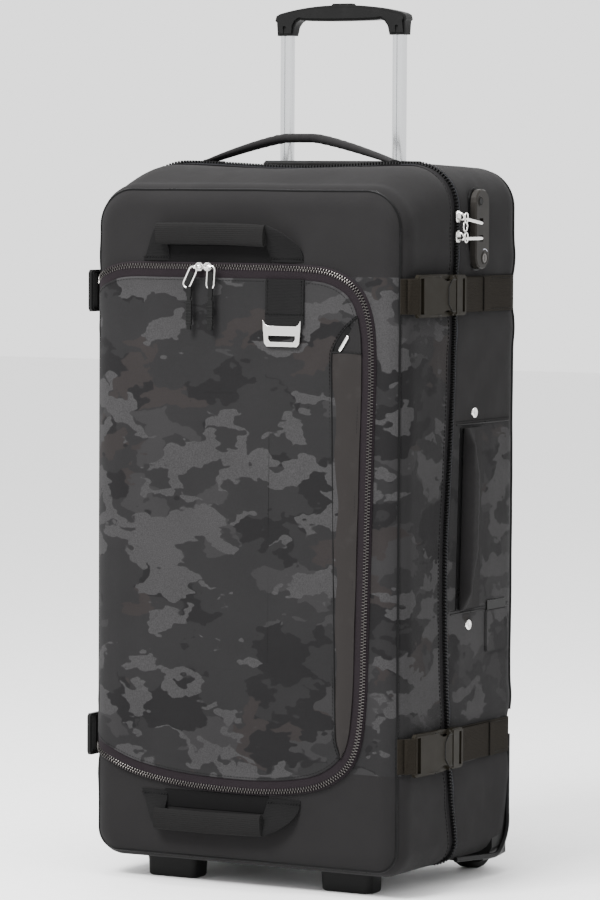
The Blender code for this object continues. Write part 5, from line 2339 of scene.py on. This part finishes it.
def front_handle(level, way):
    """Haul handle: a folded ribbed grip held out on two webbing legs."""
    node = f"front_handle_{level}"
    low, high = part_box(node)
    root = low.z if way > 0 else high.z
    left, right = low.x, high.x
    grip_left, grip_right = left + 0.0260, right - 0.0400
    grip_mid = root + way * 0.0305
    xs = np.linspace(grip_left, grip_right, 60)
    lean = way * -0.0012
    sag = 0.0012 * (1 - ((xs - (grip_left + grip_right) / 2) / ((grip_right - grip_left) / 2)) ** 2)
    points = np.stack(
        [
            xs,
            np.full(len(xs), low.y + 0.0052),
            grip_mid + way * sag + lean * (xs - xs[0]) / (xs[-1] - xs[0]),
        ],
        axis=1,
    )
    grip = padded_tube(
        f"haul_grip_{level}",
        points,
        (0.0, -1.0, 0.0),
        0.0118,
        0.0046,
        "ribbed_cloth",
        node,
        0.03,
    )
    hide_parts(node)
    legs = (
        (
            "left",
            (left + 0.001, left + 0.0345),
            (grip_left - 0.0015, grip_left + 0.0065),
            (1.1, 1.0),
        ),
        (
            "right",
            (right - 0.0400, right + 0.0005),
            (grip_right - 0.0060, grip_right + 0.0018),
            (1.0, 2.6),
        ),
    )
    for name, foot, head, curves in legs:
        grid = []
        steps = np.linspace(0, 1, 15)
        for share in steps:
            z = root + way * (0.0012 + 0.0395 * share)
            bend = share * share * (3 - 2 * share)
            y = FRONT - 0.0012 - 0.0128 * bend
            row = []
            for t in np.linspace(0, 1, 9):
                x0 = foot[0] + (head[0] - foot[0]) * share ** curves[0]
                x1 = foot[1] + (head[1] - foot[1]) * share ** curves[1]
                row.append((x0 + (x1 - x0) * t, y - 0.0012 * math.sin(math.pi * t), z))
            row += [(px, py + 0.0016, pz) for px, py, pz in row[::-1]]
            grid.append(row)
        verts, faces = capped(grid)
        new_piece(
            f"haul_leg_{level}_{name}",
            verts,
            faces,
            "black_webbing",
            node,
            sharp=50.0,
        )
        line = [
            (x, FRONT - 0.0026, root + way * 0.0050)
            for x in np.linspace(foot[0] + 0.001, foot[1] - 0.001, 7)
        ]
        stitches(
            f"haul_stitches_{level}_{name}",
            line,
            (0.0, -1.0, 0.0),
            "lid",
            0.0022,
            0.0014,
            0.0004,
            "piping",
        )
    # A backing patch behind each grip; its near-black colour is painted shade cast by the grip,
    # darker than the cloth itself.
    patch_low, patch_high = sorted((root - way * 0.0010, root + way * 0.0185))
    patch = rounded_rectangle(left + 0.030, right - 0.0385, patch_low, patch_high, 0.002, 3)
    plate_piece(
        f"haul_backing_shaded_{level}",
        patch,
        (FRONT - 0.0014, FRONT + 0.001),
        "Y",
        0.0006,
        "backing_shade_cloth",
        "lid",
    )


front_handle("upper", 1)
front_handle("lower", -1)


def side_handle():
    """Padded side grab handle: a roll at its free edge and a flat stitched flap."""
    low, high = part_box("side_handle")
    heights = np.linspace(low.z + 0.001, high.z - 0.001, 70)
    span = (heights - heights[0]) / (heights[-1] - heights[0])
    tilt = 0.0085 * (span - 0.5)
    middle = soft_step(span, 0.12, 0.34) * (1 - soft_step(span, 0.70, 0.92))
    front = low.y + 0.004 + tilt
    edge = front + 0.0130 + 0.0165 * middle
    back = np.full(len(heights), high.y - 0.0015) + tilt * 0.5
    thick = (high.x - HALF) - 0.0024
    grid = []
    for f, e, b, z, s, m in zip(front, edge, back, heights, span, middle):
        plump = min(1.0, 8 * s + 0.25, 8 * (1 - s) + 0.25)
        fold = 0.0004 * math.sin(z * 560 + 2.0 * math.sin(z * 90)) * m
        row = []
        for a in np.linspace(0, 1, 13):
            y = f + (e - f) * a
            lift = 0.0022 + (thick * plump + fold) * (1 - (2 * a - 0.9) ** 4 if a < 0.95 else 0.30)
            row.append((HALF + max(lift, 0.0022), y, z))
        row.append((HALF + 0.0030, e + 0.0012, z))
        row.append((HALF + 0.0026, (e + b) / 2, z))
        row.append((HALF + 0.0022, b, z))
        row.append((HALF + 0.0006, b + 0.0002, z))
        row.append((HALF + 0.0006, (e + b) / 2, z))
        row.append((HALF + 0.0008, e, z))
        row.append((HALF + 0.0012, f + 0.004, z))
        row.append((HALF + 0.0016, f + 0.0008, z))
        grid.append(row)
    verts, faces = capped(grid)
    made = new_piece(
        "grab_handle", verts, faces, "dark_cloth", "side_handle", sharp=60.0
    )
    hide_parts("side_handle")
    line = np.stack([np.full(len(heights), HALF + 0.0032), edge + 0.0016, heights], axis=1)[2:-2]
    ups = (1.0, 0.0, 0.0)
    stitches("grab_stitches", line, ups, "side_handle", 0.0026, 0.0016, 0.00045, "piping")
    # A thin near-black strip on the side along the handle's front edge: painted shadow under the
    # handle's free edge.
    gap = np.stack([np.full(len(heights), HALF + 0.0004), front - 0.0015, heights], axis=1)
    verts, faces = extrusion(gap, ups, rounded_section(0.0042, -0.0006, 0.0006, 0.0003))
    new_piece("grab_painted_shadow", verts, faces, "piping", "rear_case")


side_handle()


# ---- rivets, tag holder and side seams -------------------------------------------------
def rivet(name, y, z):
    """Round head with a raised rim, turned about the axis across the bag."""
    profile = [
        (HALF - 0.0010, 0.0058),
        (HALF + 0.0018, 0.0058),
        (HALF + 0.0026, 0.0050),
        (HALF + 0.0029, 0.0036),
        (HALF + 0.0025, 0.0030),
    ]
    rows = []
    steps = 32
    for i in range(steps):
        a = 2 * math.pi * i / steps
        rows.append([(x, y + r * math.cos(a), z + r * math.sin(a)) for x, r in profile])
    verts = [p for row in rows for p in row]
    count = len(rows[0])
    faces = strip_faces(steps, count, closed_rows=True)
    faces.append(tuple(i * count for i in range(steps)))
    faces.append(tuple(i * count + count - 1 for i in range(steps)))
    new_piece(name, verts, faces, "nickel", "rear_case", sharp=50.0)


rivet("rivet_upper", 0.023, 0.518)
rivet("rivet_lower", 0.012, 0.286)


def side_seam(name, line, body="rear_case"):
    """A turned seam across the rear half's side, with a row of stitches below it."""
    points = smoothed(resampled(line, 0.004), 2)
    ups = (math.copysign(1.0, points[0, 0]), 0.0, 0.0)
    cord_piece(name, points, ups, 0.0008, "piping", body, sides=6)
    stitches(
        name + "_stitches",
        points + np.array((0.0003, 0.0, 0.0035)),
        ups,
        body,
        0.0026,
        0.0014,
        0.0003,
        "black_webbing",
    )


for sign in (1, -1):
    tag = "right" if sign > 0 else "left"
    x = sign * (HALF + 0.0003)
    start = 0.012
    side_seam(
        f"side_seam_high_{tag}", [(x, HINGE_Y + start, SIDE_SEAM_HIGH), (x, 0.108, SIDE_SEAM_HIGH)]
    )
    side_seam(
        f"side_seam_low_{tag}",
        [
            (x, HINGE_Y + start - (0.012 if sign > 0 else 0), SIDE_SEAM_LOW),
            (x, 0.108, SIDE_SEAM_LOW),
        ],
    )

tag_low, tag_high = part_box("luggage_tag")
holder = rounded_rectangle(
    tag_low.y - 0.003, tag_high.y + 0.003, tag_low.z - 0.010, tag_high.z - 0.010, 0.004, 5
)
plate_piece(
    "tag_pocket",
    holder,
    (HALF - 0.0002, HALF + 0.0030),
    "X",
    0.0010,
    "camo_cloth",
    "rear_case",
)


# ---- camera, light and floor -----------------------------------------------------
CAMERA_PLACE = (2.4222, -4.3805, 0.7728)
CAMERA_BACK = (0.48472, -0.87260, 0.06009)
CAMERA_TURN = 29.05
CAMERA_ROLL = 0.325
CAMERA_LENS = 180.6
SENSOR_WIDTH = 36.0
FLOOR_REACH = 12.0


def set_camera():
    """The camera, from its place, the way it faces and a slight roll."""
    back = Vector(CAMERA_BACK).normalized()
    turn = math.radians(CAMERA_TURN)
    right = Vector((math.cos(turn), math.sin(turn), 0.0))
    up = back.cross(right).normalized()
    right = up.cross(back).normalized()
    roll = math.radians(CAMERA_ROLL)
    across = right * math.cos(roll) + up * math.sin(roll)
    above = up * math.cos(roll) - right * math.sin(roll)
    data = bpy.data.cameras.new("camera")
    data.lens = CAMERA_LENS
    data.sensor_width = SENSOR_WIDTH
    camera = bpy.data.objects.new("camera", data)
    bpy.context.collection.objects.link(camera)
    place = Matrix((across, above, back)).transposed().to_4x4()
    place.translation = Vector(CAMERA_PLACE)
    camera.matrix_world = place
    bpy.context.scene.camera = camera


def area_light(name, place, target, size, power, tint=(1.0, 1.0, 1.0)):
    data = bpy.data.lights.new(name, "AREA")
    data.shape = "RECTANGLE"
    data.size, data.size_y = size
    data.energy = power
    data.color = tint
    made = bpy.data.objects.new(name, data)
    bpy.context.collection.objects.link(made)
    made.location = place
    way = Vector(target) - Vector(place)
    made.rotation_euler = way.to_track_quat("-Z", "Y").to_euler()
    return made


def set_stage():
    world = bpy.data.worlds.new("world")
    world.use_nodes = True
    world.node_tree.nodes["Background"].inputs[0].default_value = (1.0, 1.0, 1.0, 1.0)
    world.node_tree.nodes["Background"].inputs[1].default_value = 1.90
    bpy.context.scene.world = world
    area_light("key light", (-0.5, -2.4, 2.9), (0.0, 0.0, 0.7), (1.4, 1.2), 300.0)
    area_light("side light", (2.4, -0.8, 2.0), (0.1, 0.0, 0.6), (0.9, 1.2), 4.0)
    area_light("top light", (0.0, -0.3, 2.6), (0.0, 0.0, 0.7), (1.2, 0.9), 60.0)
    floor_shader = Shader("pale floor", (0.86, 0.86, 0.86), 0.6)
    place = floor_shader.place()
    grain = floor_shader.noise(place, 60.0, 3.0)
    floor_shader.put(
        "Base Color",
        floor_shader.ramp(grain, ((0.3, (0.85, 0.85, 0.85)), (0.7, (0.88, 0.88, 0.88)))),
    )
    floor_shader.bumps(((grain, 0.02, 0.001),))
    mesh = bpy.data.meshes.new("floor")
    signs = ((-1, -1), (1, -1), (1, 1), (-1, 1))
    corners = [(x * FLOOR_REACH, y * FLOOR_REACH, 0) for x, y in signs]
    mesh.from_pydata(corners, [], [(0, 1, 2, 3)])
    mesh.materials.append(floor_shader.material)
    floor = bpy.data.objects.new("floor", mesh)
    bpy.context.collection.objects.link(floor)


set_camera()
set_stage()
